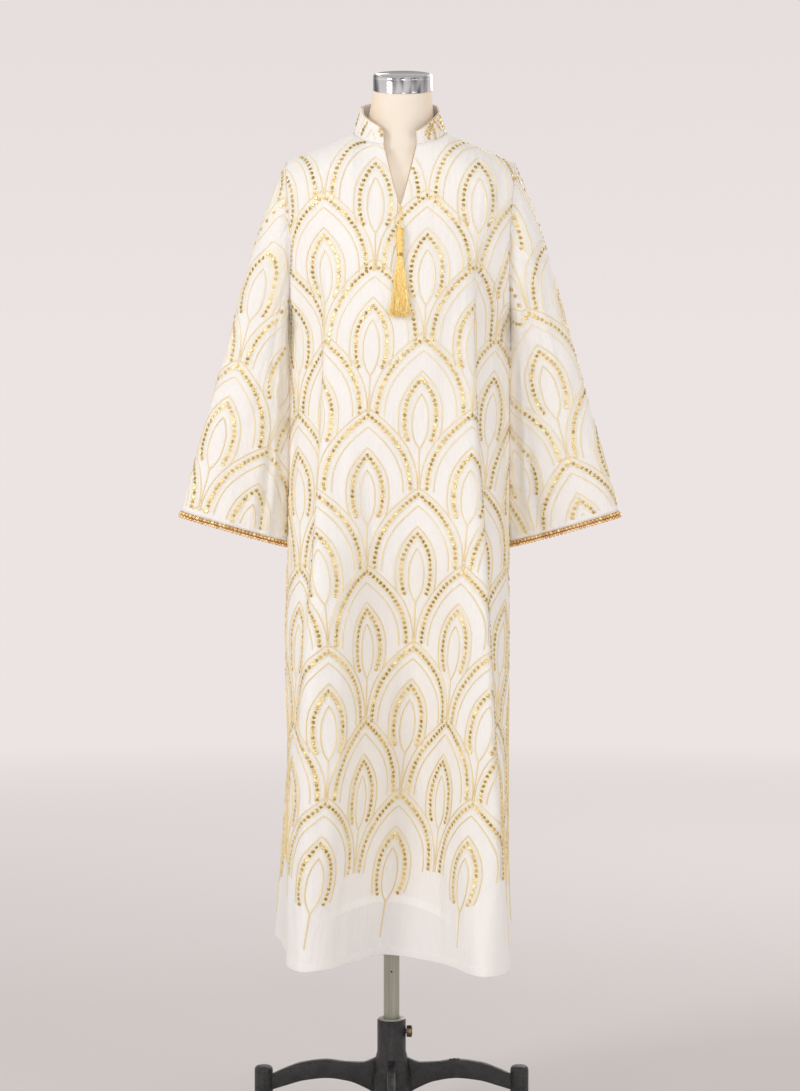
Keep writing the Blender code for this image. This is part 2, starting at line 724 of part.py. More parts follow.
def tassel_band(surface, collection):
    inner = TASSEL_WAIST_RADIUS + SEAM_GAP
    outer = inner + TASSEL_BAND_WALL
    top = -TASSEL_HEAD_LENGTH - TASSEL_BAND_MARGIN
    low = -TASSEL_HEAD_LENGTH - TASSEL_BAND_HEIGHT + TASSEL_BAND_MARGIN
    profile = ((outer, top), (outer, low), (inner, low), (inner, top))
    made = turned("tassel_band", profile, 16, surface, collection)
    made.matrix_world = tassel_frame()
    return made


def tube(name, route, radius, surface, collection):
    line = bpy.data.curves.new(name, "CURVE")
    line.dimensions = "3D"
    line.resolution_u = 1
    line.render_resolution_u = 0
    line.bevel_depth = radius
    line.bevel_resolution = 2
    line.use_fill_caps = True
    spline = line.splines.new("POLY")
    spline.points.add(len(route) - 1)
    for point, place in zip(spline.points, route):
        point.co = (*place, 1.0)
    made = bpy.data.objects.new(name, line)
    collection.objects.link(made)
    line.materials.append(surface)
    return made


def tassel_cord(surface, collection):
    """The cord from the slit's point down to the tassel's head."""
    clear = WALL + TASSEL_CLEARANCE + TASSEL_CORD_RADIUS
    end = tassel_frame() @ Vector((0, 0, SEAM_GAP))
    start_height = SLIT_BOTTOM_HEIGHT - TASSEL_CORD_START
    start = Vector(panel_point(0.0, start_height, True)) + Vector((0, -clear, 0))
    route = [start, start.lerp(end, 0.5), end]
    return tube("tassel_cord", route, TASSEL_CORD_RADIUS, surface, collection)


def form_rings():
    """The dress form's sections: centre, half width, front and back depth, and tilt."""
    rings = []
    for height, half, front, back in FORM_TORSO:
        rings.append((height * MM, half * MM, front * MM, back * MM, 1.0, 0.0))
    for x, front, back, taper in FORM_SHOULDERS:
        height = ridge(x * MM, True)[1] - FORM_CLEARANCE
        rings.append((height, x * MM, front * MM, back * MM, taper, 0.0))
    for height, half, front, back, taper in FORM_NECK:
        rings.append((height * MM, half * MM, front * MM, back * MM, taper, 0.0))
    top = NECK_TOP_RADIUS
    middle = (FORM_NECK[-1][0] * MM + NECK_TOP_HEIGHT) / 2
    rings.append((middle, top + MM, top + MM, top + MM, 1.0, NECK_TOP_TILT / 2))
    rings.append((NECK_TOP_HEIGHT, top, top, top, 1.0, NECK_TOP_TILT))
    return rings


def form_centre(height):
    """The form stands a little askew on its pole: over the pole below, at x = 0 above."""
    if height > RIDGE_HEIGHT:
        return NECK_TOP_X * (height - RIDGE_HEIGHT) / (NECK_TOP_HEIGHT - RIDGE_HEIGHT)
    rise = min((height - FORM_BOTTOM) / (FORM_LEVEL - FORM_BOTTOM), 1.0)
    return POLE_X * (1 - rise)


def torso_form(surface, collection):
    points = []
    rings = form_rings()
    for height, half, front, back, taper, tilt in rings:
        centre_x = form_centre(height)
        for step in range(FORM_SIDES):
            turn = math.tau * step / FORM_SIDES
            forward = math.cos(turn)
            x = half * math.sin(turn)
            y = -front * forward ** taper if forward > 0 else back * (-forward) ** taper
            points.append((centre_x + x, RIDGE_Y + y * math.cos(tilt), height + y * math.sin(tilt)))
    faces = grid_faces(len(rings), FORM_SIDES, closed=True)
    faces.append(tuple(reversed(range(FORM_SIDES))))
    faces.append(tuple((len(rings) - 1) * FORM_SIDES + step for step in range(FORM_SIDES)))
    made = add_mesh("torso_form", points, faces, surface, collection)
    face_outward(made)
    return made


def neck_cap(surface, collection):
    radius = NECK_TOP_RADIUS + CAP_OVERHANG
    low = SEAM_GAP
    high = SEAM_GAP + CAP_HEIGHT
    profile = [(0.0, high), (radius - CAP_EDGE, high)]
    for step in range(1, 4):
        turn = math.radians(90) * step / 3
        profile.append((
            radius - CAP_EDGE + CAP_EDGE * math.sin(turn),
            high - CAP_EDGE + CAP_EDGE * math.cos(turn),
        ))
    profile += [(radius, low), (0.0, low)]
    made = turned("neck_cap", profile, 36, surface, collection, close=False)
    made.matrix_world = (
        Matrix.Translation((NECK_TOP_X, RIDGE_Y, NECK_TOP_HEIGHT))
        @ Matrix.Rotation(NECK_TOP_TILT, 4, "X")
    )
    return made


def pole(surface, collection):
    top = FORM_BOTTOM - SEAM_GAP
    profile = ((0.0, top), (POLE_RADIUS, top), (POLE_RADIUS, POLE_BOTTOM), (0.0, POLE_BOTTOM))
    made = turned("pole", profile, 32, surface, collection, close=False)
    made.location.x = POLE_X
    return made


def pole_bushing(surface, collection):
    """The split ring in the socket's mouth, which the pole slides in."""
    inner = POLE_RADIUS + RUNNING_GAP
    outer = SOCKET_BORE - RUNNING_GAP
    lip = SOCKET_RADIUS - BUSHING_SETBACK
    seat = SOCKET_TOP + RUNNING_GAP
    top = seat + BUSHING_LIP
    low = SOCKET_TOP - BUSHING_LENGTH
    profile = ((inner, top), (lip, top), (lip, seat), (outer, seat), (outer, low), (inner, low))
    made = turned("pole_bushing", profile, 32, surface, collection)
    made.location.x = POLE_X
    return made


def applied(made, collection):
    """The object's evaluated mesh as a plain mesh object in the same place."""
    bpy.context.view_layer.update()
    graph = bpy.context.evaluated_depsgraph_get()
    mesh = bpy.data.meshes.new_from_object(made.evaluated_get(graph))
    plain = bpy.data.objects.new(made.name + "_solid", mesh)
    plain.matrix_world = made.matrix_world.copy()
    collection.objects.link(plain)
    work = bmesh.new()
    work.from_mesh(mesh)
    bmesh.ops.remove_doubles(work, verts=work.verts, dist=0.00001)
    bmesh.ops.recalc_face_normals(work, faces=work.faces)
    work.to_mesh(mesh)
    work.free()
    bpy.data.objects.remove(made)
    return plain


def cast_arm(index, surface, cutters):
    """A flat cast bar on edge, from inside the hub to the boss at its end."""
    outline = [(x * MM, z * MM) for x, z in ARM_TOP_EDGE + ARM_LOWER_EDGE]
    line = bpy.data.curves.new("arm", "CURVE")
    line.dimensions = "2D"
    line.fill_mode = "BOTH"
    line.extrude = ARM_HALF_THICKNESS - ARM_ROUNDING
    line.bevel_depth = ARM_ROUNDING
    line.bevel_resolution = 0
    line.resolution_u = 2
    line.render_resolution_u = 0
    spline = line.splines.new("BEZIER")
    spline.use_cyclic_u = True
    spline.bezier_points.add(len(outline) - 1)
    corners = {0, len(ARM_TOP_EDGE) - 1, len(ARM_TOP_EDGE), len(outline) - 1}
    for place, (point, (x, y)) in enumerate(zip(spline.bezier_points, outline)):
        point.co = (x, y, 0)
        kind = "VECTOR" if place in corners else "AUTO"
        point.handle_left_type = kind
        point.handle_right_type = kind
    made = bpy.data.objects.new(f"arm_{index}", line)
    cutters.objects.link(made)
    made.matrix_world = (
        Matrix.Translation((POLE_X, 0, 0))
        @ Matrix.Rotation(math.radians(90) * index, 4, "Z")
        @ Matrix.Rotation(math.radians(90), 4, "X")
    )
    return applied(made, cutters)


def boss(index, surface, cutters):
    profile = (
        (0.0, BOSS_TOP), (BOSS_RADIUS - BOSS_EDGE, BOSS_TOP), (BOSS_RADIUS, BOSS_TOP - BOSS_EDGE),
        (BOSS_RADIUS, BOSS_BOTTOM), (0.0, BOSS_BOTTOM),
    )
    made = turned(f"boss_{index}", profile, 16, surface, cutters, close=False)
    turn = math.radians(90) * index
    made.location = (POLE_X + BOSS_REACH * math.cos(turn), BOSS_REACH * math.sin(turn), 0)
    return applied(made, cutters)


def hide_helper(helper):
    helper.hide_render = True
    helper.display_type = "WIRE"


def stand_base(surface, collection, cutters):
    """The casting: socket and hub, four arms, and a round boss at the end of each arm."""
    profile = [(radius * MM, height * MM) for radius, height in HUB_PROFILE]
    hub = turned("stand_base", profile, 24, surface, collection)
    hub.location.x = POLE_X
    base = applied(hub, collection)
    base.name = "stand_base"
    above = SOCKET_TOP + BORE_OVERRUN
    bore_profile = ((0.0, above), (SOCKET_BORE, above), (SOCKET_BORE, 0.0), (0.0, 0.0))
    bore = turned("bore", bore_profile, 24, surface, cutters, close=False)
    bore.location.x = POLE_X
    bore = applied(bore, cutters)
    past = SOCKET_RADIUS + BORE_OVERRUN
    wide = SCREW_SHAFT_RADIUS + RUNNING_GAP
    hole_profile = ((0.0, past), (wide, past), (wide, 0.0), (0.0, 0.0))
    hole = turned("screw_hole", hole_profile, 12, surface, cutters, close=False)
    hole.matrix_world = (
        Matrix.Translation((POLE_X, 0, SCREW_HEIGHT)) @ Matrix.Rotation(math.radians(90), 4, "Y")
    )
    hole = applied(hole, cutters)
    for index in range(4):
        for piece in (cast_arm(index, surface, cutters), boss(index, surface, cutters)):
            hide_helper(piece)
            join = base.modifiers.new("Join", "BOOLEAN")
            join.operation = "UNION"
            join.object = piece
    for cutter in (bore, hole):
        hide_helper(cutter)
        cut = base.modifiers.new("Cut", "BOOLEAN")
        cut.operation = "DIFFERENCE"
        cut.object = cutter
    base.data.materials.clear()
    base.data.materials.append(surface)
    return base


def foot(name, index, surface, collection):
    top = BOSS_BOTTOM - SEAM_GAP
    profile = (
        (0.0, top), (BOSS_RADIUS - FOOT_EDGE, top),
        (FOOT_RADIUS - FOOT_EDGE, FOOT_RIM_HEIGHT + 2 * FOOT_EDGE),
        (FOOT_RADIUS, FOOT_RIM_HEIGHT), (FOOT_RADIUS, 0.0), (0.0, 0.0),
    )
    made = turned(name, profile, 16, surface, collection, close=False)
    turn = math.radians(90) * index
    made.location = (POLE_X + BOSS_REACH * math.cos(turn), BOSS_REACH * math.sin(turn), 0)
    return made


def clamp_screw(surface, collection):
    """The thumbscrew that clamps the pole, on an axis along X through the socket's wall."""
    start = SOCKET_BORE
    head = SOCKET_RADIUS + SCREW_EDGE
    end = head + SCREW_HEAD_LENGTH
    rim = SCREW_HEAD_RADIUS - SCREW_EDGE
    profile = (
        (0.0, end), (rim, end), (SCREW_HEAD_RADIUS, end - SCREW_EDGE),
        (SCREW_HEAD_RADIUS, head + SCREW_EDGE), (rim, head),
        (SCREW_SHAFT_RADIUS, head), (SCREW_SHAFT_RADIUS, start), (0.0, start),
    )
    made = turned("clamp_screw", profile, 24, surface, collection, close=False)
    made.matrix_world = (
        Matrix.Translation((POLE_X, 0, SCREW_HEIGHT)) @ Matrix.Rotation(math.radians(90), 4, "Y")
    )
    return made


def build():
    for old in list(bpy.data.objects):
        bpy.data.objects.remove(old)
    parts = new_collection("Abaya on a dress form")
    cutters = new_collection("Cutters")

    cloth = material("White cotton", (0.86, 0.84, 0.80), 0.85)
    beads = material("Copper gold beads", (0.62, 0.34, 0.12), 0.35, 0.8)
    silk = material("Golden yellow silk", (0.85, 0.48, 0.06), 0.55)
    gilt = material("Gilt thread", (0.75, 0.52, 0.18), 0.35, 0.9)
    cover = material("Cream jersey", (0.80, 0.72, 0.60), 0.8)
    chrome = material("Chrome", (0.75, 0.75, 0.76), 0.08, 1.0)
    steel = material("Grey steel", (0.36, 0.36, 0.31), 0.4, 0.7)
    iron = material("Black cast iron", (0.015, 0.015, 0.017), 0.55, 0.3)
    brass = material("Brass", (0.52, 0.38, 0.16), 0.35, 0.9)
    rubber = material("Black rubber", (0.02, 0.02, 0.02), 0.8)

    body_panel("front_panel", True, cloth, parts)
    body_panel("back_panel", False, cloth, parts)
    sleeve("sleeve_left", -1, cloth, parts)
    sleeve("sleeve_right", 1, cloth, parts)
    cuff_trim("cuff_trim_left", -1, beads, parts)
    cuff_trim("cuff_trim_right", 1, beads, parts)
    collar(cloth, parts)
    tassel_cord(silk, parts)
    tassel(silk, parts)
    tassel_band(gilt, parts)
    torso_form(cover, parts)
    neck_cap(chrome, parts)
    pole(steel, parts)
    pole_bushing(steel, parts)
    stand_base(iron, parts, cutters)
    clamp_screw(brass, parts)
    for index, name in enumerate(("foot_right", "foot_back", "foot_left", "foot_front")):
        foot(name, index, rubber, parts)


build()
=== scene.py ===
import math
import random

import bmesh
import bpy
import numpy as np
from mathutils import Matrix, Vector


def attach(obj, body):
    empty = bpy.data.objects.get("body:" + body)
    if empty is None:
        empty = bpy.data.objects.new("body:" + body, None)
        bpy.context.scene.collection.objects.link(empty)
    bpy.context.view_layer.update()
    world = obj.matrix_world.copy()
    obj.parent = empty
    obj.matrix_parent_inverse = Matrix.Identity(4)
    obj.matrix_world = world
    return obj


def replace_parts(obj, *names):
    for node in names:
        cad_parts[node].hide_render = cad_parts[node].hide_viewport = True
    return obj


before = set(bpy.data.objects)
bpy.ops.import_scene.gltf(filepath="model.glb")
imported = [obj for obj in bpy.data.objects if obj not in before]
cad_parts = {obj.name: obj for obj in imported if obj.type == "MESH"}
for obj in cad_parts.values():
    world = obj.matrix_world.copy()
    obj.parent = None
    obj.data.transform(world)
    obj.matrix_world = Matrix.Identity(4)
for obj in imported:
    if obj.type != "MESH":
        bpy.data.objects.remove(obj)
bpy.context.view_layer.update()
mm = 0.001
random.seed(7)

# ---- camera, floor and light

studio = {
    "cameraPlace": (0.0, -5.0, 1.30),
    "cameraAim": (0.0, 0.0, 1.02),
    "lens": 97.2,
    "sensor": 36.0,
    "floorRadius": 30.0,
    "skyStrength": 1.0,
    "horizon": (0.84, 0.775, 0.765),
    "overhead": (0.63, 0.615, 0.61),
    "lights": (
        # name, place, aim, width, height, power
        ("keySoftbox", (-3.3, -2.7, 2.9), (0.0, 0.0, 1.1), 1.3, 1.6, 60.0),
        ("fillSoftbox", (3.2, -3.0, 1.7), (0.0, 0.0, 1.0), 1.6, 2.4, 20.0),
        ("frontSoftbox", (0.2, -5.6, 1.75), (0.0, 0.0, 1.2), 1.2, 1.2, 42.0),
        ("rearSoftbox", (1.4, 3.6, 2.8), (0.0, 0.0, 1.1), 2.4, 2.0, 55.0),
    ),
}


def aimedAt(place, target):
    turn = (Vector(target) - Vector(place)).to_track_quat("-Z", "Y").to_matrix().to_4x4()
    return Matrix.Translation(place) @ turn


def makeStudio():
    camera = bpy.data.objects.new("camera", bpy.data.cameras.new("camera"))
    bpy.context.scene.collection.objects.link(camera)
    camera.data.lens = studio["lens"]
    camera.data.sensor_width = studio["sensor"]
    camera.matrix_world = aimedAt(studio["cameraPlace"], studio["cameraAim"])
    bpy.context.scene.camera = camera
    for name, place, target, width, height, power in studio["lights"]:
        light = bpy.data.lights.new(name, "AREA")
        light.shape = "RECTANGLE"
        light.size = width
        light.size_y = height
        light.energy = power
        lamp = bpy.data.objects.new(name, light)
        bpy.context.scene.collection.objects.link(lamp)
        lamp.matrix_world = aimedAt(place, target)
    world = bpy.data.worlds.new("studioSky")
    world.use_nodes = True
    nodes, links = world.node_tree.nodes, world.node_tree.links
    sky = nodes["Background"]
    sky.inputs["Strength"].default_value = studio["skyStrength"]
    height = nodes.new("ShaderNodeSeparateXYZ")
    links.new(nodes.new("ShaderNodeTexCoord").outputs["Generated"], height.inputs[0])
    shade = nodes.new("ShaderNodeValToRGB")
    stops = ((0.0, studio["horizon"]), (0.5, studio["overhead"]))
    for stop, (place, colour) in zip(shade.color_ramp.elements, stops):
        stop.position = place
        stop.color = (*colour, 1)
    links.new(height.outputs["Z"], shade.inputs["Fac"])
    links.new(shade.outputs["Color"], sky.inputs["Color"])
    bpy.context.scene.world = world
    bpy.context.scene.view_settings.view_transform = "Standard"
    work = bmesh.new()
    bmesh.ops.create_circle(work, cap_ends=True, segments=96, radius=studio["floorRadius"])
    floor = addPiece("floor", work, paleFloor(), None)


# ---- finishes

class Wire:
    # one output socket, with sums and products that add Math nodes
    def __init__(self, finish, socket):
        self.finish = finish
        self.socket = socket

    def sum(self, operation, first, second):
        return self.finish.out("ShaderNodeMath", {"operation": operation}, {0: first, 1: second})

    def __add__(self, other):
        return self.sum("ADD", self, other)

    def __sub__(self, other):
        return self.sum("SUBTRACT", self, other)

    def __mul__(self, other):
        return self.sum("MULTIPLY", self, other)

    def __pow__(self, other):
        return self.sum("POWER", self, other)

    def __rsub__(self, other):
        return self.sum("SUBTRACT", other, self)

    def __abs__(self):
        return self.sum("ABSOLUTE", self, 0.0)

    __radd__ = __add__
    __rmul__ = __mul__


class Finish:
    def __init__(self, name, colour, roughness, metallic=0.0, **fixed):
        self.material = bpy.data.materials.new(name)
        self.material.use_nodes = True
        self.tree = self.material.node_tree
        self.shader = self.tree.nodes["Principled BSDF"]
        fixed.update(Base_Color=(*colour, 1.0), Roughness=roughness, Metallic=metallic)
        for socket, value in fixed.items():
            self.shader.inputs[socket.replace("_", " ")].default_value = value

    def node(self, kind, settings=None, values=None):
        made = self.tree.nodes.new(kind)
        for setting, value in (settings or {}).items():
            if setting == "stops":
                ramp = made.color_ramp
                for place, shade in value[2:]:
                    ramp.elements.new(place)
                for stop, (place, shade) in zip(ramp.elements, sorted(value)):
                    stop.position = place
                    stop.color = (*shade, 1.0)
            else:
                setattr(made, setting, value)
        for socket, value in (values or {}).items():
            self.feed(made.inputs[socket], value)
        return made

    def feed(self, socket, value):
        if isinstance(value, Wire):
            self.tree.links.new(value.socket, socket)
        else:
            socket.default_value = value

    def out(self, kind, settings=None, values=None, output=0):
        return Wire(self, self.node(kind, settings, values).outputs[output])

    def place(self, scale=(1, 1, 1), uv=None):
        # Object coordinates in metres, or the piece's own UV map, scaled
        if uv:
            source = self.out("ShaderNodeUVMap", {"uv_map": uv})
        else:
            source = self.out("ShaderNodeTexCoord", output="Object")
        return self.out("ShaderNodeMapping", None, {"Vector": source, "Scale": scale})

    def places(self, uv=None):
        made = self.node("ShaderNodeSeparateXYZ", None, {"Vector": self.place(uv=uv)})
        return [Wire(self, socket) for socket in made.outputs]

    def carried(self, name):
        # a value that the mesh carries at its corners
        return self.out("ShaderNodeAttribute", {"attribute_name": name}, output=2)

    def noise(self, scale, detail=2.0, rough=0.5, stretch=(1, 1, 1), uv=None):
        where = self.place(stretch, uv)
        values = {"Vector": where, "Scale": scale, "Detail": detail, "Roughness": rough}
        return self.out("ShaderNodeTexNoise", None, values)

    def flatNoise(self, across, up, detail, rough=0.5):
        return self.noise(1.0, detail, rough, (across, up, 1), "flat")

    def sine(self, angle):
        return self.out("ShaderNodeMath", {"operation": "SINE"}, {0: angle})

    def mix(self, share, first, second):
        made = self.node("ShaderNodeMix", {"data_type": "RGBA"})
        self.feed(made.inputs[0], share)
        for socket, shade in ((made.inputs[6], first), (made.inputs[7], second)):
            self.feed(socket, shade if isinstance(shade, Wire) else (*shade, 1.0))
        return Wire(self, made.outputs[2])

    def ramp(self, value, *stops):
        return self.out("ShaderNodeValToRGB", {"stops": stops}, {"Fac": value})

    def clamped(self, value):
        return self.out("ShaderNodeClamp", None, {"Value": value})

    def colour(self, value):
        self.feed(self.shader.inputs["Base Color"], value)

    def roughness(self, value):
        self.feed(self.shader.inputs["Roughness"], value)

    def glow(self, share, tone):
        self.feed(self.shader.inputs["Emission Color"], self.mix(share, (0.0, 0.0, 0.0), tone))

    def bump(self, height, distance, strength):
        values = {"Height": height, "Distance": distance, "Strength": strength}
        self.feed(self.shader.inputs["Normal"], self.out("ShaderNodeBump", None, values))


def plainFinish(
    name, colour, roughness, metallic=0.0, grain=(), shades=(), dulled=(), raised=(), **fixed
):
    # grain shades and dulls the surface; raised is a bump's own scale, detail, mm and strength
    finish = Finish(name, colour, roughness, metallic, **fixed)
    if grain:
        spread = finish.noise(*grain)
    if shades:
        finish.colour(finish.ramp(spread, *shades))
    if dulled:
        finish.roughness(dulled[0] + dulled[1] * spread)
    if raised:
        scale, detail, distance, strength = raised
        finish.bump(finish.noise(scale, detail), distance * mm, strength)
    return finish.material


# where the floor starts to glow as the horizon does, and how fast, in metres
floorGlow = {"colour": (0.66, 0.62, 0.61), "start": 1.2, "rise": 0.23}


def paleFloor():
    # far off it glows as the horizon does, so that the two meet without a line
    colour = floorGlow["colour"]
    finish = Finish("paleFloor", colour, 0.9, Emission_Strength=1.0, Specular_IOR_Level=0.0)
    x, y, z = finish.places()
    far = finish.clamped(((x * x + y * y) ** 0.5 - floorGlow["start"]) * floorGlow["rise"])
    finish.colour(finish.mix(far, colour, (0.0, 0.0, 0.0)))
    finish.glow(far, studio["horizon"])
    finish.roughness(0.85 + 0.1 * finish.noise(3.0))
    return finish.material


# the lining's edge, in metres on the flat cloth; below it the front's middle is painted greyer as the
# gown's shaded inside showing through
lining = {"height": 0.4175, "tilt": 0.05, "sag": 1.0, "half": 0.16, "sharp": 700.0, "turned": 0.014}
# the crease between body and sleeve, lightened by a painted glow: how far out it runs, and where its
# painted light ends
paintedCreaseGlow = {"out": 0.187, "narrow": 120.0, "top": 1.40, "bottom": 1.02, "fade": 14.0}


def whiteCotton():
    # plain woven cotton: fine weave, slubs, and soft crush lines down the cloth; the front's
    # lining ends above the hem, with a paler band at its turned edge, and below it the cloth is
    # painted greyer with the gown's shaded inside showing through; a painted glow lightens the
    # shaded crease between body and sleeve, standing in for light through the thin cloth
    finish = Finish(
        "whiteCotton", (0.86, 0.845, 0.815), 0.86,
        Sheen_Weight=0.1, Sheen_Roughness=0.5, Emission_Strength=1.0,
    )
    across, up, none = finish.places(uv="flat")
    weft = finish.flatNoise(110.0, 1500.0, 1.0)
    warp = finish.flatNoise(1500.0, 110.0, 1.0)
    crush = finish.flatNoise(46.0, 11.0, 3.0, 0.55)
    cloudy = finish.flatNoise(7.0, 5.0, 3.0)
    tone = finish.ramp(cloudy, (0.3, (0.885, 0.865, 0.835)), (0.7, (0.855, 0.83, 0.79)))
    sharp = lining["sharp"]
    level = lining["height"] - lining["tilt"] * across - lining["sag"] * across * across
    middle = finish.clamped((lining["half"] - abs(across)) * 12.0)
    below = finish.clamped((level - up) * sharp + 0.5)
    inTurn = finish.clamped((up - level) * sharp)
    inTurn = inTurn * finish.clamped((level + lining["turned"] - up) * sharp)
    # painted shade: greyer below the lining's edge in the front's middle, where the shaded inside shows
    # through the thin cloth
    tone = finish.mix(0.62 * below * middle, tone, (0.80, 0.785, 0.77))
    tone = finish.mix(0.55 * inTurn * middle, tone, (0.93, 0.915, 0.89))
    finish.colour(finish.mix(0.16 * weft, tone, (0.96, 0.95, 0.93)))
    finish.roughness(0.80 + 0.12 * weft)
    finish.bump(0.3 * weft + 0.3 * warp + 4.4 * crush, 1.1 * mm, 0.8)
    x, y, z = finish.places()
    # a painted glow lightens the shaded crease between body and sleeve, standing in for light through the
    # thin cloth
    crease = finish.clamped(1.3 - abs(abs(x) - paintedCreaseGlow["out"]) * paintedCreaseGlow["narrow"])
    under = finish.clamped((paintedCreaseGlow["top"] - z) * paintedCreaseGlow["fade"])
    above = finish.clamped((z - paintedCreaseGlow["bottom"]) * paintedCreaseGlow["fade"])
    finish.glow(crease * under * above, (0.14, 0.12, 0.105))
    return finish.material


def seamCotton():
    colour, raised = (0.84, 0.82, 0.785), (1400.0, 1.0, 0.3, 0.5)
    return plainFinish("seamCotton", colour, 0.88, raised=raised, Sheen_Weight=0.1)


def paleGoldThread():
    # deeper gold low on the gown
    finish = Finish("paleGoldThread", (0.80, 0.60, 0.28), 0.5, Sheen_Weight=0.25)
    twist = finish.noise(1100.0, 1.0)
    tone = finish.noise(12.0, 2.0)
    pale = finish.ramp(tone, (0.3, (0.88, 0.76, 0.50)), (0.7, (0.82, 0.66, 0.38)))
    deep = finish.ramp(tone, (0.3, (0.84, 0.68, 0.36)), (0.7, (0.77, 0.58, 0.26)))
    x, y, z = finish.places()
    shade = finish.mix(finish.clamped(2.0 - 1.5 * z), pale, deep)
    finish.colour(finish.mix(0.4 * twist, shade, (0.96, 0.90, 0.68)))
    finish.roughness(0.36 + 0.25 * twist)
    finish.bump(twist, 0.4 * mm, 0.7)
    return finish.material


def yellowThread():
    # the close stitching under the sequins, richest low on the gown and fading at its edges
    finish = Finish("yellowThread", (0.88, 0.74, 0.42), 0.6, Sheen_Weight=0.2)
    run, side = finish.carried("run"), abs(finish.carried("side"))
    x, y, z = finish.places()
    shade = finish.mix(finish.clamped(2.1 - 1.3 * z), (0.90, 0.84, 0.68), (0.88, 0.775, 0.52))
    stitch = finish.sine(run * 3300.0 + side * 9.0)
    shade = finish.mix(0.3 + 0.3 * stitch, shade, (0.94, 0.89, 0.75))
    finish.colour(finish.mix(finish.clamped(side * 2.0 - 0.9), shade, (0.885, 0.86, 0.80)))
    finish.bump(stitch, 0.3 * mm, 0.6)
    return finish.material


def browngoldCord():
    shades = ((0.35, (0.55, 0.34, 0.14)), (0.65, (0.78, 0.56, 0.30)))
    return plainFinish("browngoldCord", (0.62, 0.40, 0.18), 0.5, grain=(900.0, 1.0), shades=shades)


def goldSequin():
    finish = Finish("goldSequin", (0.80, 0.56, 0.20), 0.3, 0.78)
    # the tint each corner carries: a random paler gold on the rim, and on the cupped centre a darker
    # painted reflection
    tint = finish.carried("tint")
    finish.colour(finish.ramp(
        tint, (0.0, (0.36, 0.245, 0.09)), (0.3, (0.60, 0.43, 0.18)),
        (0.65, (0.86, 0.68, 0.36)), (0.9, (0.98, 0.89, 0.60)),
    ))
    finish.roughness(0.28 + 0.2 * tint)
    return finish.material


def copperBead():
    finish = Finish("copperBead", (0.66, 0.33, 0.09), 0.25, 0.55, Coat_Weight=0.8, Coat_Roughness=0.1)
    shades = ((0.0, (0.66, 0.36, 0.11)), (0.6, (0.90, 0.58, 0.23)), (1.0, (1.0, 0.80, 0.44)))
    finish.colour(finish.ramp(finish.carried("tint"), *shades))
    return finish.material


def brownGround():
    # the thread that the cuff beads are strung on, its very dark brown also the painted shade between the
    # beads
    return plainFinish("brownGround", (0.20, 0.085, 0.02), 0.7, raised=(900.0, 1.0, 0.3, 0.5))


def yellowSilk():
    return plainFinish(
        "yellowSilk", (0.92, 0.58, 0.10), 0.38, grain=(1.0, 2.0, 0.5, (900.0, 900.0, 45.0)),
        shades=((0.36, (0.93, 0.55, 0.06)), (0.62, (1.0, 0.90, 0.46))), dulled=(0.30, 0.2),
        Sheen_Weight=0.4,
    )


def giltBand():
    return plainFinish("giltBand", (0.78, 0.52, 0.16), 0.25, 1.0, grain=(700.0,), dulled=(0.18, 0.2))


# the neck's middle, from which its sides are painted darker, and the heights between which a painted glow
# lifts the shade inside the slit, in metres
neckShade = {"middle": 0.004, "bottom": 1.52, "top": 1.685, "fade": 25.0}


def creamJersey():
    # a fine knit drawn smooth, its ribs running up the neck; its sides are painted darker and warmer as
    # shade, and a painted glow lifts the shade inside the slit
    finish = Finish("creamJersey", (0.80, 0.69, 0.54), 0.82, Sheen_Weight=0.15, Emission_Strength=1.0)
    rib = finish.flatNoise(520.0, 6.0, 2.0)
    knit = finish.flatNoise(1500.0, 900.0, 1.0)
    soft = finish.noise(9.0, 2.0)
    x, y, z = finish.places()
    # painted shade: the neck darker and warmer towards its sides, where it turns from the light
    side = finish.clamped(abs(x - neckShade["middle"]) * 60.0 - 1.9) * finish.clamped(z * 60.0 - 96.6)
    shade = finish.ramp(soft, (0.3, (0.87, 0.785, 0.665)), (0.7, (0.84, 0.75, 0.625)))
    shade = finish.mix(0.7 * side, shade, (0.88, 0.69, 0.49))
    finish.colour(finish.mix(0.22 * rib, shade, (0.92, 0.86, 0.77)))
    finish.bump(0.8 * rib + 0.4 * knit, 0.35 * mm, 0.6)
    # a painted glow where the collar shades the neck inside the slit
    above = finish.clamped((z - neckShade["bottom"]) * neckShade["fade"])
    under = finish.clamped((neckShade["top"] - z) * neckShade["fade"])
    finish.glow(above * under, (0.22, 0.195, 0.165))
    return finish.material


def polishedChrome():
    # painted reflections: dark and bright streaks round the side, and a plain duller grey on the top
    # inside the rim
    finish = Finish("polishedChrome", (0.72, 0.72, 0.73), 0.07, 1.0)
    # painted reflection: streaks of dark and bright round the cap's side
    streak = finish.noise(1.0, 2.0, 0.4, (58.0, 58.0, 2.0))
    x, y, z = finish.places()
    inner = finish.clamped((0.0455 - ((x - 0.0045) ** 2.0 + y ** 2.0) ** 0.5) * 900.0)
    shades = ((0.40, (0.09, 0.09, 0.10)), (0.50, (0.42, 0.41, 0.42)), (0.60, (0.82, 0.82, 0.83)))
    finish.colour(finish.mix(inner, finish.ramp(streak, *shades), (0.40, 0.385, 0.38)))
    finish.roughness(0.05 + 0.06 * finish.noise(300.0))
    return finish.material


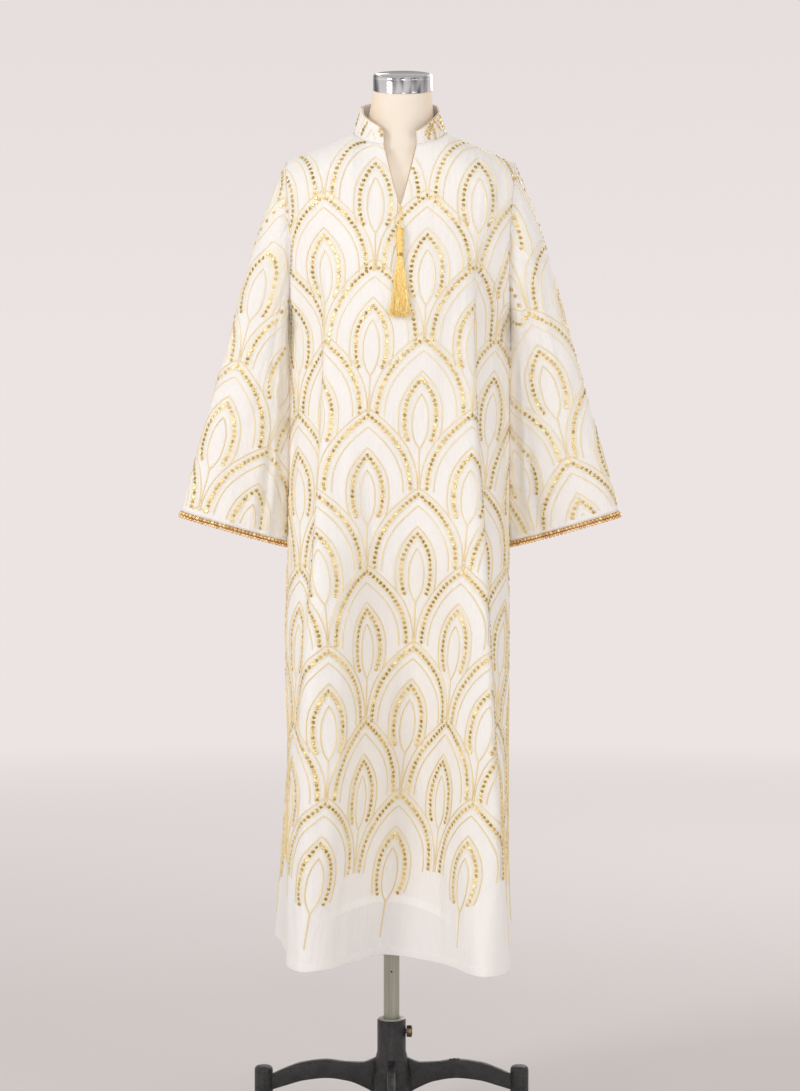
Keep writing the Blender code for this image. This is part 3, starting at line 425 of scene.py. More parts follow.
def greySteel():
    finish = Finish("greySteel", (0.30, 0.30, 0.25), 0.38, 0.45)
    streak = finish.noise(1.0, 3.0, stretch=(260.0, 260.0, 9.0))
    wear = finish.noise(1.0, 4.0, stretch=(60.0, 60.0, 34.0))
    shade = finish.ramp(streak, (0.3, (0.38, 0.375, 0.31)), (0.7, (0.52, 0.51, 0.435)))
    finish.colour(finish.mix(finish.clamped((wear - 0.56) * 5.0) * 0.5, shade, (0.48, 0.47, 0.42)))
    finish.roughness(0.30 + 0.2 * wear)
    finish.bump(streak, 0.1 * mm, 0.4)
    return finish.material


def blackIron():
    # cast and painted, with small paler, shinier spots that are painted glints
    finish = Finish("blackIron", (0.009, 0.009, 0.010), 0.42, 0.0, Coat_Weight=0.12, Coat_Roughness=0.3)
    grain = finish.noise(420.0, 3.0)
    rough = finish.noise(60.0, 4.0)
    shade = finish.ramp(rough, (0.35, (0.004, 0.004, 0.005)), (0.75, (0.018, 0.016, 0.015)))
    # painted glints: small pale spots, a little less rough
    paintedGlints = finish.clamped((finish.noise(560.0, 2.0) - 0.60) * 12.0)
    finish.roughness(0.36 - 0.2 * paintedGlints)
    finish.colour(finish.mix(0.55 * paintedGlints, shade, (0.13, 0.12, 0.115)))
    finish.bump(1.6 * grain + 3.2 * rough, 1.6 * mm, 1.0)
    return finish.material


def brassPlate():
    shades = ((0.35, (0.10, 0.075, 0.045)), (0.65, (0.30, 0.225, 0.13)))
    return plainFinish(
        "brassPlate", (0.42, 0.30, 0.12), 0.34, 0.95,
        grain=(210.0, 3.0), shades=shades, dulled=(0.28, 0.25),
    )


def blackRubber():
    shades = ((0.4, (0.016, 0.016, 0.016)), (0.8, (0.04, 0.038, 0.036)))
    return plainFinish(
        "blackRubber", (0.02, 0.02, 0.02), 0.82,
        grain=(90.0, 3.0), shades=shades, raised=(900.0, 1.0, 0.2, 0.5),
    )


# ---- meshes

garment = bpy.data.collections.new("abayaOnForm")
bpy.context.scene.collection.children.link(garment)
sharpFrom = math.radians(50)


def addPiece(name, work, material, body="column"):
    mesh = bpy.data.meshes.new(name)
    work.to_mesh(mesh)
    work.free()
    return addMesh(name, mesh, material, body)


def addMesh(name, mesh, material, body="column", smooth=True):
    if smooth:
        mesh.shade_smooth()
        mesh.set_sharp_from_angle(angle=sharpFrom)
    mesh.materials.append(material)
    piece = bpy.data.objects.new(name, mesh)
    garment.objects.link(piece)
    if body:
        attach(piece, body)
    return piece


def meshOf(name, points, faces, **carried):
    # one mesh from arrays of corners, with a value at each corner for every name given
    mesh = bpy.data.meshes.new(name)
    mesh.from_pydata(np.concatenate(points).tolist(), [], faces)
    for title, values in carried.items():
        mesh.attributes.new(title, "FLOAT", "POINT").data.foreach_set("value", values)
    return mesh


def clothGrid(columns, rows, place):
    # a grid whose corners go where place(across, up) says; both run from 0 to 1
    work = bmesh.new()
    bmesh.ops.create_grid(work, x_segments=columns, y_segments=rows, size=1.0)
    flat = np.array([vert.co[:2] for vert in work.verts]) * 0.5 + 0.5
    points, maps = place(flat[:, 0], flat[:, 1])
    for vert, point in zip(work.verts, points):
        vert.co = point
    layer = work.loops.layers.uv.new("flat")
    for face in work.faces:
        for loop in face.loops:
            loop[layer].uv = maps[loop.vert.index]
    return work


def lathe(profile, steps=64):
    # a profile of (radius, height) in mm, turned about the Z axis
    work = bmesh.new()
    corners = [work.verts.new((radius * mm, 0, height * mm)) for radius, height in profile]
    for first, second in zip(corners, corners[1:]):
        work.edges.new((first, second))
    bmesh.ops.spin(
        work, geom=work.verts[:] + work.edges[:], axis=(0, 0, 1), cent=(0, 0, 0),
        angle=math.tau, steps=steps, use_merge=True,
    )
    bmesh.ops.remove_doubles(work, verts=work.verts, dist=0.01 * mm)
    bmesh.ops.recalc_face_normals(work, faces=work.faces)
    return work


def moved(work, matrix):
    bmesh.ops.transform(work, matrix=matrix, verts=work.verts)
    return work


def joined(works):
    # several built shapes as one
    whole = bmesh.new()
    for work in works:
        part = bpy.data.meshes.new("part")
        work.to_mesh(part)
        work.free()
        whole.from_mesh(part)
        bpy.data.meshes.remove(part)
    return whole


def hang(name, work, outward, material, thickness):
    # a sheet whose faces look the way out, with its wall behind them
    work.faces.ensure_lookup_table()
    work.normal_update()
    middle = work.faces[len(work.faces) // 2]
    if middle.normal.dot(outward(middle.calc_center_median())) < 0:
        bmesh.ops.reverse_faces(work, faces=work.faces)
    piece = addPiece(name, work, material)
    wall = piece.modifiers.new("clothWall", "SOLIDIFY")
    wall.thickness = thickness
    wall.offset = -1.0
    wall.use_even_offset = False
    return piece


# ---- the hang of the cloth

cloth = {
    "wall": 1.5 * mm,
    "sheet": 1.1 * mm,
    "bottom": 300,
    "top": 1740,
    "levelStep": 5,
    "perSpan": 14,
    "acrossSteps": 320,
    "edgeEase": 0.05,
    "hem": 320 * mm,
    "hemLift": 8 * mm,
    "underarm": 1380 * mm,
    "neckHalfWidth": 78 * mm,
    "neckHalfDepth": 66 * mm,
    "ridgeY": 4 * mm,
    "ridgeHeight": 1716 * mm,
    "ridgeSlope": 0.424,
    "shoulderTurn": 170 * mm,
    "shoulderBend": 7.8,
    "shoulderRounding": 70 * mm,
    "overShoulder": 105 * mm,
    "neckFrontDrop": 19.5 * mm,
    "neckBackRise": 6.5 * mm,
    "slitHalfWidth": 26.5 * mm,
    "slitBottom": 1591 * mm,
    "slitBend": 1.15,
    "sleeveLength": 640 * mm,
    "sleeveAlongs": 80,
    "sleeveTurns": 144,
    "sleeveJoin": 0.2,
    "sleeveEase": 0.12,
    "sleeveTuckFrom": 0.08,
    "sleeveTuckOver": 0.2,
    "sleeveFullness": 0.85,
    "sleeveTuck": 14 * mm,
    "sleeveClear": 0.5 * mm,
}


def otherSide(rows):
    return [(height, *(-x if at % 2 == 0 else x for at, x in enumerate(rest))) for height, *rest in rows]


# height, then x and y of the seam, side, valley, fold edge, crest and mid, all in mm
frontLeftFold = (
    (1700, -193, -38, -168, -55, -148, -66, -122, -74, -85, -78, -45, -70),
    (1640, -190, -45, -166, -64, -147, -76, -122, -83, -88, -87, -45, -84),
    (1580, -185, -48, -165, -70, -146, -83, -122, -92, -88, -97, -45, -99),
    (1500, -182, -50, -163, -74, -140, -87, -121, -98, -88, -110, -45, -117),
    (1440, -184, -36, -162, -60, -128, -88, -119, -104, -85, -118, -45, -130),
    (1380, -186, 0, -163, -45, -127, -86, -122, -113, -85, -127, -45, -137),
    (1250, -185, 0, -166, -48, -130, -84, -126, -122, -88, -131, -45, -134),
    (1050, -188, 0, -176, -52, -141, -94, -138, -138, -95, -134, -50, -114),
    (850, -193, 0, -187, -55, -166, -105, -148, -148, -98, -135, -45, -80),
    (600, -188, 0, -186, -55, -181, -112, -158, -156, -108, -145, -55, -78),
    (320, -193, 0, -190, -55, -187, -112, -163, -158, -123, -146, -70, -85),
)
frontRightFold = (
    *otherSide(frontLeftFold[:2]),
    (1580, 185, -48, 165, -70, 146, -83, 121, -92, 88, -97, 45, -99),
    (1500, 182, -50, 163, -72, 136, -85, 119, -99, 88, -110, 45, -117),
    (1440, 184, -36, 160, -55, 124, -84, 118, -104, 85, -118, 45, -130),
    (1380, 186, 0, 160, -40, 124, -80, 119, -112, 85, -124, 45, -136),
    (1250, 184, 0, 163, -42, 127, -80, 123, -122, 84, -130, 42, -134),
    (1050, 184, 0, 170, -42, 136, -85, 136, -142, 92, -140, 45, -120),
    (850, 184, 0, 174, -48, 148, -98, 146, -155, 100, -130, 60, -88),
    (600, 182, -5, 177, -55, 166, -112, 157, -172, 106, -145, 55, -74),
    (320, 180, -10, 177, -65, 182, -125, 174, -172, 136, -199, 65, -100),
)
# height, then x and y of the centre line
frontCentre = (
    (1700, 0, -66), (1640, 0, -82), (1580, 0, -98), (1500, 0, -118), (1440, 0, -132),
    (1380, 0, -140), (1250, 0, -136), (1050, 5, -112), (850, 8, -64), (600, -4, -42),
    (320, -32, -48),
)
# height, then x and y of the seam, side, corner, bulge and mid
backLeftFold = (
    (1700, -193, 38, -165, 58, -122, 72, -85, 76, -45, 70),
    (1640, -190, 44, -165, 68, -125, 82, -88, 86, -45, 84),
    (1580, -186, 48, -163, 75, -125, 90, -88, 97, -45, 97),
    (1500, -183, 50, -160, 80, -125, 98, -88, 106, -45, 107),
    (1440, -185, 36, -162, 72, -126, 98, -90, 108, -45, 109),
    (1380, -186, 0, -165, 62, -130, 98, -92, 108, -45, 107),
    (1250, -185, 0, -168, 62, -138, 98, -98, 106, -48, 100),
    (1050, -188, 0, -176, 66, -150, 108, -105, 118, -52, 104),
    (850, -193, 0, -186, 70, -168, 128, -115, 142, -58, 118),
    (600, -188, 0, -194, 85, -190, 158, -128, 178, -64, 142),
    (320, -193, 0, -206, 100, -216, 192, -150, 215, -70, 160),
)
backRightFold = (
    *otherSide(backLeftFold[:6]),
    (1250, 184, 0, 166, 60, 136, 96, 98, 105, 48, 101),
    (1050, 184, 0, 172, 62, 145, 103, 105, 114, 54, 106),
    (850, 184, 0, 178, 62, 156, 118, 112, 135, 60, 120),
    (600, 182, -5, 184, 65, 172, 130, 125, 160, 66, 140),
    (320, 180, -10, 188, 70, 192, 142, 140, 190, 72, 155),
)
backCentre = (
    (1700, 0, 70), (1640, 0, 86), (1580, 0, 99), (1500, 0, 108), (1440, 0, 110),
    (1380, 0, 107), (1250, 0, 100), (1050, 0, 108), (850, 0, 128), (600, 0, 152),
    (320, 0, 178),
)
# how far down the sleeve, the outer edge's x and height, the inner edge's, half the depth
sleeveSections = (
    (0.00, 196.5, 1661, 187.9, 1378.5, 50),
    (0.12, 222, 1600, 189.2, 1345, 58),
    (0.30, 252, 1505, 189.6, 1270, 52),
    (0.50, 288, 1380, 189.2, 1190, 45),
    (0.75, 330, 1228, 189.9, 1105, 39),
    (1.00, 371.5, 1079, 191.5, 1027, 33),
)

# creases: flat place and height of each end, then width and depth, all in mm; depth > 0 is a ridge
frontCreases = (
    (-150, 1560, -118, 1650, 9, -3.0),
    (-170, 1500, -128, 1580, 10, 3.0),
    (-160, 1430, -120, 1530, 9, -2.5),
    (175, 1640, 150, 1540, 8, -2.6),
    (168, 1560, 128, 1470, 10, -3.2),
    (150, 1480, 118, 1400, 9, 2.4),
    (62, 1668, 40, 1610, 5, -1.2),
    (80, 1650, 48, 1585, 5, 1.1),
    (-55, 1640, -36, 1570, 6, -1.0),
    (-90, 1200, -70, 960, 16, 2.4),
    (20, 1230, 10, 940, 20, -2.2),
    (95, 1130, 110, 860, 13, -2.0),
    (-30, 900, -38, 560, 18, 2.6),
    (70, 820, 52, 420, 16, -2.8),
    (-150, 760, -165, 380, 15, 2.6),
    (-210, 700, -225, 360, 15, -3.0),
    (215, 640, 232, 350, 14, 3.2),
    (120, 560, 128, 330, 12, 2.2),
    (-100, 520, -112, 330, 13, -2.4),
)
backCreases = (
    (-150, 1560, -118, 1640, 10, -2.6),
    (160, 1570, 130, 1480, 10, 2.6),
    (-120, 1420, -60, 1300, 16, -2.4),
    (110, 1400, 66, 1240, 16, 2.2),
    (-20, 1260, -10, 960, 20, 2.6),
    (-95, 1000, -120, 620, 17, -3.0),
    (60, 980, 72, 600, 16, -2.6),
    (150, 800, 178, 420, 17, 3.0),
    (-190, 700, -220, 380, 16, 3.0),
    (10, 640, 14, 360, 18, -2.8),
)
sleeveCreases = (
    (40, 60, 28, 300, 8, -2.6),
    (64, 180, 60, 420, 8, 3.0),
    (10, 240, -4, 470, 10, -2.2),
    (84, 330, 76, 560, 7, -2.6),
    (50, 400, 44, 650, 6, -3.6),
    (64, 380, 58, 650, 6, 3.4),
    (16, 540, 12, 650, 4, -1.4),
    (30, 530, 27, 650, 4, 1.5),
    (-26, 500, -32, 650, 6, -1.6),
    (-60, 120, -48, 330, 11, 2.0),
    (30, 420, 22, 610, 9, 2.0),
    (-120, 260, -128, 520, 12, -2.2),
    (-230, 120, -236, 400, 12, 2.4),
    (-300, 240, -290, 540, 11, -2.6),
)


def smoothed(share):
    return share * share * (3 - 2 * share)


def lengthsAlong(lines):
    # how far along its line each point lies
    steps = np.linalg.norm(np.diff(lines, axis=-2), axis=-1)
    return np.concatenate((np.zeros((*steps.shape[:-1], 1)), np.cumsum(steps, axis=-1)), axis=-1)


def unitWays(ways):
    return ways / np.maximum(np.linalg.norm(ways, axis=1), 1e-9)[:, None]


def interpolated(places, along, line):
    return np.stack([np.interp(places, along, values) for values in line.T], axis=1)


def sampled(grid, row, column):
    # the grid's value between its rows and columns
    row, column = np.clip(row, 0, len(grid) - 1.001), np.clip(column, 0, grid.shape[1] - 1.001)
    r, c = row.astype(int), column.astype(int)
    fr, fc = row - r, column - c
    if grid.ndim > 2:
        fr, fc = fr[:, None], fc[:, None]
    upper = grid[r, c] * (1 - fc) + grid[r, c + 1] * fc
    lower = grid[r + 1, c] * (1 - fc) + grid[r + 1, c + 1] * fc
    return upper * (1 - fr) + lower * fr


def evenSlopes(rows):
    # slopes that keep each column from swinging past its own values
    rise = np.diff(rows[:, 1:], axis=0) / np.diff(rows[:, :1], axis=0)
    slopes = np.zeros_like(rows[:, 1:])
    slopes[0], slopes[-1] = rise[0], rise[-1]
    turning = rise[:-1] * rise[1:] <= 0
    total = np.where(turning, 1.0, rise[:-1] + rise[1:])
    slopes[1:-1] = np.where(turning, 0.0, 2 * rise[:-1] * rise[1:] / total)
    return slopes


def readRows(table, places):
    rows = np.array(sorted(table), dtype=float)
    places = np.clip(np.asarray(places, dtype=float), rows[0, 0], rows[-1, 0])
    slopes = evenSlopes(rows)
    below = np.clip(np.searchsorted(rows[:, 0], places, side="right") - 1, 0, len(rows) - 2)
    step = (rows[below + 1, 0] - rows[below, 0])[:, None]
    f = (places - rows[below, 0])[:, None] / step
    f2, f3 = f * f, f * f * f
    return (
        (2 * f3 - 3 * f2 + 1) * rows[below, 1:] + (f3 - 2 * f2 + f) * step * slopes[below]
        + (3 * f2 - 2 * f3) * rows[below + 1, 1:] + (f3 - f2) * step * slopes[below + 1]
    )


def curveThrough(points, perSpan):
    # points is (heights, points, 2); the first and last only steer the curve's ends
    line = []
    for first in range(points.shape[1] - 3):
        p = points[:, first:first + 4].swapaxes(0, 1)
        spans = [
            np.maximum(np.sqrt(np.linalg.norm(b - a, axis=1)), 1e-6)[:, None]
            for a, b in zip(p, p[1:])
        ]
        k1, k2, k3 = np.cumsum(spans, axis=0)
        for step in range(perSpan):
            t = k1 + (k2 - k1) * step / perSpan
            a1 = (p[0] * (k1 - t) + p[1] * t) / k1
            a2 = (p[1] * (k2 - t) + p[2] * (t - k1)) / (k2 - k1)
            a3 = (p[2] * (k3 - t) + p[3] * (t - k2)) / (k3 - k2)
            b1 = (a1 * (k2 - t) + a2 * t) / k2
            b2 = (a2 * (k3 - t) + a3 * (t - k1)) / (k3 - k1)
            line.append((b1 * (k2 - t) + b2 * (t - k1)) / (k2 - k1))
    line.append(points[:, -2])
    return np.stack(line, axis=1)


def neckSeamAt(forward):
    # the neck seam's height, where forward runs from 1 at the front to -1 at the back
    return cloth["ridgeHeight"] - cloth["neckFrontDrop"] * forward - cloth["neckBackRise"] * forward ** 2


def ridgeAbove(x, front):
    # the panel's top edge above x: the neck seam, then the shoulder seam
    out = np.minimum(np.abs(x) / cloth["neckHalfWidth"], 1.0)
    turn = np.sqrt(1 - out * out) * (1 if front else -1)
    neckY = cloth["ridgeY"] - cloth["neckHalfDepth"] * turn
    neckTop = neckSeamAt(turn)
    fall = cloth["ridgeSlope"] * (np.abs(x) - cloth["neckHalfWidth"])
    bend = np.maximum(np.abs(x) - cloth["shoulderTurn"], 0.0)
    top = cloth["ridgeHeight"] - fall - cloth["shoulderBend"] * bend * bend
    inNeck = np.abs(x) < cloth["neckHalfWidth"]
    return np.where(inNeck, neckY, cloth["ridgeY"]), np.where(inNeck, neckTop, top)


def creaseAt(creases, s, t):
    # how far the creases raise the cloth at a flat place; each fades out towards its ends
    raised = np.zeros_like(s)
    for s0, t0, s1, t1, width, depth in creases:
        ds, dt = (s1 - s0) * mm, (t1 - t0) * mm
        along = ((s - s0 * mm) * ds + (t - t0 * mm) * dt) / (ds * ds + dt * dt)
        away = np.abs((s - s0 * mm) * dt - (t - t0 * mm) * ds) / math.hypot(ds, dt)
        ends = np.clip(1 - np.maximum(np.abs(along - 0.5) - 0.28, 0) / 0.34, 0, 1)
        raised += depth * mm * np.exp(-((away / (width * mm)) ** 2)) * smoothed(ends)
    return raised


class Panel:
    # the front or the back: a place on it is its flat distance from the centre line and a height
    def __init__(self, front):
        self.front = front
        self.creases = frontCreases if front else backCreases
        own = (frontLeftFold, frontRightFold, frontCentre)
        other = (backLeftFold, backRightFold, backCentre)
        if not front:
            own, other = other, own
        self.levels = np.arange(cloth["bottom"], cloth["top"] + 1, cloth["levelStep"]) * mm
        heights = self.levels / mm
        left, right, centre, beyondLeft, beyondRight = (
            readRows(table, heights).reshape(len(heights), -1, 2) for table in (*own, *other[:2])
        )
        ends = beyondLeft[:, 1:2], beyondRight[:, 1:2]
        points = np.concatenate((ends[0], left, centre, right[:, ::-1], ends[1]), axis=1) * mm
        line = curveThrough(points, cloth["perSpan"])
        along = lengthsAlong(line)
        along -= along[:, left.shape[1] * cloth["perSpan"]][:, None]
        self.reach = -along[:, 0], along[:, -1]
        shares = np.linspace(-1, 1, cloth["acrossSteps"] + 1)
        self.plan = np.empty((len(line), len(shares), 2))
        for row, (toLeft, toRight) in enumerate(zip(*self.reach)):
            places = np.where(shares < 0, shares * toLeft, shares * toRight)
            for axis in (0, 1):
                self.plan[row, :, axis] = np.interp(places, along[row], line[row, :, axis])

    def width(self, side, height):
        left, right = (np.interp(height, self.levels, reach) for reach in self.reach)
        return np.where(side < 0, left, right)

    def planAt(self, share, height):
        row = (height - self.levels[0]) / (cloth["levelStep"] * mm)
        return sampled(self.plan, row, (share + 1) / 2 * cloth["acrossSteps"])

    def bare(self, share, height):
        plan = self.planAt(share, height)
        x, y = plan[:, 0], plan[:, 1]
        topY, top = ridgeAbove(x, self.front)
        down = np.clip((top - height) / cloth["shoulderRounding"], 0, 1)
        rounding = np.sqrt(1 - (1 - down) ** 2)
        return np.stack((x, topY + (y - topY) * rounding, height), axis=1)

    def outward(self, share, height):
        a, b = np.clip(share - 0.004, -1, 1), np.clip(share + 0.004, -1, 1)
        across = self.bare(b, height) - self.bare(a, height)
        down = self.bare(share, height - 3 * mm) - self.bare(share, height)
        return unitWays(np.cross(down, across) if self.front else np.cross(across, down))

    def at(self, share, height, lift=0.0):
        out = self.outward(share, height)
        s = share * self.width(share, height)
        edge = np.clip((1 - np.abs(share)) / cloth["edgeEase"], 0, 1)
        raised = cloth["wall"] + creaseAt(self.creases, s, height) * edge + lift
        return self.bare(share, height) + out * np.reshape(raised, (-1, 1)), out

    def topAt(self, share):
        height = np.full(len(share), cloth["ridgeHeight"])
        for _ in range(14):
            x = self.planAt(share, height)[:, 0]
            height = ridgeAbove(x, self.front)[1]
            if self.front:
                opened = np.clip(np.abs(x) / cloth["slitHalfWidth"], 0, 1) ** cloth["slitBend"]
                height = cloth["slitBottom"] + (height - cloth["slitBottom"]) * opened
        return height

    def fromFlat(self, places):
        # flat places (s, t) to share and height; t follows the cloth over the shoulder
        s, t = places[:, 0], places[:, 1]
        height = np.minimum(t, 1.69)
        for _ in range(4):
            share = np.clip(s / self.width(s, height), -1, 1)
            x = self.planAt(share, height)[:, 0]
            top = ridgeAbove(x, self.front)[1]
            start = top - cloth["shoulderRounding"]
            past = np.clip((t - start) / cloth["overShoulder"], 0, 1)
            over = start + cloth["shoulderRounding"] * np.sin(past * math.pi / 2)
            height = np.where(t > start, over, t)
        return share, height, (t - start) < cloth["overShoulder"] - 2 * mm

    def fit(self, places, lift):
        # points, ways out, and which of the places lie on the cloth
        share, height, below = self.fromFlat(places)
        points, out = self.at(share, height, lift)
        inside = np.abs(places[:, 0]) < self.width(places[:, 0], height) * 0.988
        opened = height < self.topAt(share) - 3.5 * mm
        return points, out, inside & below & opened & (height > cloth["hem"] + 12 * mm)


class Sleeve:
    # a place on it is laid out flat, as the front shows it, from a key place along the sleeve's lean
    def __init__(self, side, key, lean, panels):
        self.side = side
        self.key = np.array(key)
        self.down = np.array((side * math.sin(lean), -math.cos(lean)))
        self.across = np.array((math.cos(lean), side * math.sin(lean)))
        self.panels = panels
        rows, columns = cloth["sleeveAlongs"], cloth["sleeveTurns"]
        self.alongs = np.linspace(0, 1, rows + 1)
        self.turns = np.linspace(-math.pi, math.pi, columns + 1)
        along, turn = np.meshgrid(self.alongs, self.turns, indexing="ij")
        self.grid = self.bare(along.ravel(), turn.ravel()).reshape(rows + 1, columns + 1, 3)
        self.around = lengthsAlong(self.grid)
        self.around -= self.around[:, columns * 3 // 4][:, None]
        self.outer = self.around[:, columns // 2]
        sections = readRows(sleeveSections, self.alongs) * mm
        outer, inner = (sections[:, first:first + 2] * (side, 1) for first in (0, 2))
        self.middle = (outer + inner) / 2
        self.inward = (inner - outer) / np.linalg.norm(inner - outer, axis=1)[:, None]
        edge = self.middle + self.inward * self.outer[:, None]
        self.edgeStart = edge[0]
        self.edgeRun = (edge[-1] - edge[0]) / np.linalg.norm(edge[-1] - edge[0])
        self.edgeOut = np.array((-self.edgeRun[1], self.edgeRun[0])) * side
        self.edgeLine = (edge - edge[0]) @ self.edgeRun, (edge - edge[0]) @ self.edgeOut

    def armhole(self, turn):
        fall = (1 - np.cos(turn)) / 2
        share = np.full(len(turn), float(self.side))
        top = self.panels[0].topAt(share)
        height = top - (top - cloth["underarm"]) * fall
        front, back = (panel.at(share, height)[0] for panel in self.panels)
        return np.where((np.sin(turn) >= 0)[:, None], front, back)

    def plain(self, along, turn):
        sections = readRows(sleeveSections, along) * mm
        out = (1 + np.cos(turn)) / 2
        x = sections[:, 2] + (sections[:, 0] - sections[:, 2]) * out
        z = sections[:, 3] + (sections[:, 1] - sections[:, 3]) * out
        swell = np.sign(np.sin(turn)) * np.abs(np.sin(turn)) ** cloth["sleeveFullness"]
        # the inner edge hangs close behind the body's side
        tucked = np.clip((along - cloth["sleeveTuckFrom"]) / cloth["sleeveTuckOver"], 0, 1)
        tucked = (1 - out) ** 2 * tucked
        share = np.full(len(out), float(self.side))
        edge = np.abs(self.panels[0].at(share, sections[:, 3])[0][:, 0])
        x = x - (sections[:, 2] - edge - cloth["sleeveClear"]) * tucked
        y = cloth["sleeveTuck"] * tucked - sections[:, 4] * swell
        return np.stack((self.side * x, y, z), axis=1)

    def bare(self, along, turn):
        blend = smoothed(np.clip(along / cloth["sleeveJoin"], 0, 1))[:, None]
        return self.armhole(turn) * (1 - blend) + self.plain(along, turn) * blend

    def column(self, turn):
        return (turn + math.pi) / math.tau * cloth["sleeveTurns"]

    def gridAt(self, along, turn):
        column = np.mod(self.column(turn), cloth["sleeveTurns"])
        return sampled(self.grid, along * cloth["sleeveAlongs"], column)

    def at(self, along, turn, lift=0.0):
        aside, ahead = 0.03, 0.012
        turned = self.gridAt(along, turn + aside) - self.gridAt(along, turn - aside)
        after, before = np.minimum(along + ahead, 1), np.maximum(along - ahead, 0)
        run = self.gridAt(after, turn) - self.gridAt(before, turn)
        out = unitWays(np.cross(turned, run) * self.side)
        ease = np.clip(along / cloth["sleeveEase"], 0, 1)
        around = self.aroundAt(along, turn)
        raised = creaseAt(sleeveCreases, around, along * cloth["sleeveLength"]) * ease + lift
        return self.gridAt(along, turn) + out * np.reshape(raised, (-1, 1)), out

    def aroundAt(self, along, turn):
        return sampled(self.around, along * cloth["sleeveAlongs"], self.column(turn))

    def fit(self, places, lift):
        flat = self.key + places[:, :1] * self.across - places[:, 1:] * self.down
        # past the outer edge the cloth turns to the back, so the place is folded over that edge
        past = flat - self.edgeStart
        away = past @ self.edgeOut - np.interp(past @ self.edgeRun, *self.edgeLine)
        behind = away > 0
        flat = flat - np.where(behind, 2 * away, 0)[:, None] * self.edgeOut
        low, high = np.zeros(len(flat)), np.ones(len(flat))
        for _ in range(24):
            along = (low + high) / 2
            middle = interpolated(along, self.alongs, self.middle)
            inward = interpolated(along, self.alongs, self.inward)
            gone = flat - middle
            further = (gone[:, 0] * inward[:, 1] - gone[:, 1] * inward[:, 0]) * -self.side > 0
            low = np.where(further, along, low)
            high = np.where(further, high, along)
        around = (gone * inward).sum(axis=1)
        row = np.round(along * cloth["sleeveAlongs"]).astype(int)
        around = np.where(behind, 2 * self.outer[row] - around, around)
        turn = np.array([np.interp(q, self.around[r], self.turns) for q, r in zip(around, row)])
        within = (around > self.around[row, 0]) & (around < self.around[row, -1])
        points, out = self.at(along, turn, lift)
        return points, out, within & (along > 0.012) & (along < 0.985)


sheet = {
    "columns": 128,
    "bendRows": 27,
    "bodyRows": 190,
    "hemRows": (14.6, 13.8, 13.0, 8.0, 3.0, 0.8, 0.0),
    "foldHeight": 13.8 * mm,
    "foldLip": 0.8 * mm,
    "foldRise": 0.45 * mm,
    "sleeveGrid": (104, 112),
    "sleeveMiddle": 0.27,
    "doubles": 0.02 * mm,
}


def hemAt(share, front):
    # the front's hem rises towards its middle
    return cloth["hem"] + cloth["hemLift"] * np.maximum(0, 1 - np.abs(share) / 0.5) * front


def makeBodyPanel(name, panel):
    # rows close together over the shoulder, even down the body, and at the turned hem's edge
    bend = cloth["shoulderRounding"] * (1 - np.cos(np.linspace(0, math.pi / 2, sheet["bendRows"])))
    hemRows = np.array(sheet["hemRows"]) * mm
    between, first = sheet["bodyRows"], len(bend)
    rows = first + between + len(hemRows) - 1

    def place(across, up):
        share = across * 2 - 1
        top, hem = panel.topAt(share), hemAt(share, panel.front)
        row = np.round((1 - up) * rows).astype(int)
        start, end = top - bend[-1], hem + hemRows[0]
        height = start + (end - start) * np.clip((row - first + 1) / (between + 1), 0, 1)
        height = np.where(row < first, top - bend[np.minimum(row, first - 1)], height)
        low = np.clip(row - first - between, 0, len(hemRows) - 1)
        height = np.where(row >= first + between, hem + hemRows[low], height)
        fold = np.clip((sheet["foldHeight"] + hem - height) / sheet["foldLip"], 0, 1) * sheet["foldRise"]
        points, out = panel.at(share, height, fold)
        return points, np.stack((share * panel.width(share, height), height), axis=1)

    work = clothGrid(sheet["columns"], rows, place)
    outward = Vector((0, -1 if panel.front else 1, 0))
    return hang(name, work, lambda where: outward, cottonWhite, cloth["sheet"])


def makeSleeve(name, sleeve):
    def place(across, up):
        along = up ** 1.1
        turn = (across * 2 - 1) * math.pi
        points, out = sleeve.at(along, turn)
        # 2 m up on the flat map, clear of the lining's edge
        up = along * cloth["sleeveLength"] + 2
        return points, np.stack((sleeve.aroundAt(along, turn), up), axis=1)

    work = clothGrid(*sheet["sleeveGrid"], place)
    bmesh.ops.remove_doubles(work, verts=work.verts, dist=sheet["doubles"])
    bmesh.ops.recalc_face_normals(work, faces=work.faces)
    middle = sleeve.side * sheet["sleeveMiddle"]
    return hang(
        name, work, lambda where: Vector((where.x - middle, where.y * 3, 0)), cottonWhite, cloth["sheet"]
    )


# ---- embroidery: arches in half-dropped columns, each round a leaf on a stem

embroidery = {
    "columnPitch": 86 * mm,
    "rowHeights": (600, 729, 853, 984, 1112, 1243, 1369, 1490, 1606, 1725),
    "sleeveRow": 129 * mm,
    "leafDrop": 66 * mm,
    "stemStart": 116 * mm,
    "stemEnd": 176 * mm,
    "threadLift": 0.375 * mm,
    "threadRadius": 1.25 * mm,
    "bandReaches": (-7.2 * mm, -3.4 * mm, 3.4 * mm, 7.2 * mm),
    "bandLifts": (0.1 * mm, 0.4 * mm, 0.4 * mm, 0.1 * mm),
    "sequinPitch": 8.3 * mm,
    "sequinRadius": 3.65 * mm,
    "sequinLift": 0.4 * mm,
    "sequinHeight": 0.7 * mm,
    "sequinCup": -0.25 * mm,
    "sequinSides": 8,
    "sampling": 5.0 * mm,
}
# half width, depth to full width, first and last depth below the apex, in mm
archLines = {
    "outer": (84, 142, -12, 125),
    "inner": (60, 112, 19, 128),
    "sequins": (72, 130, 0, 122),
}
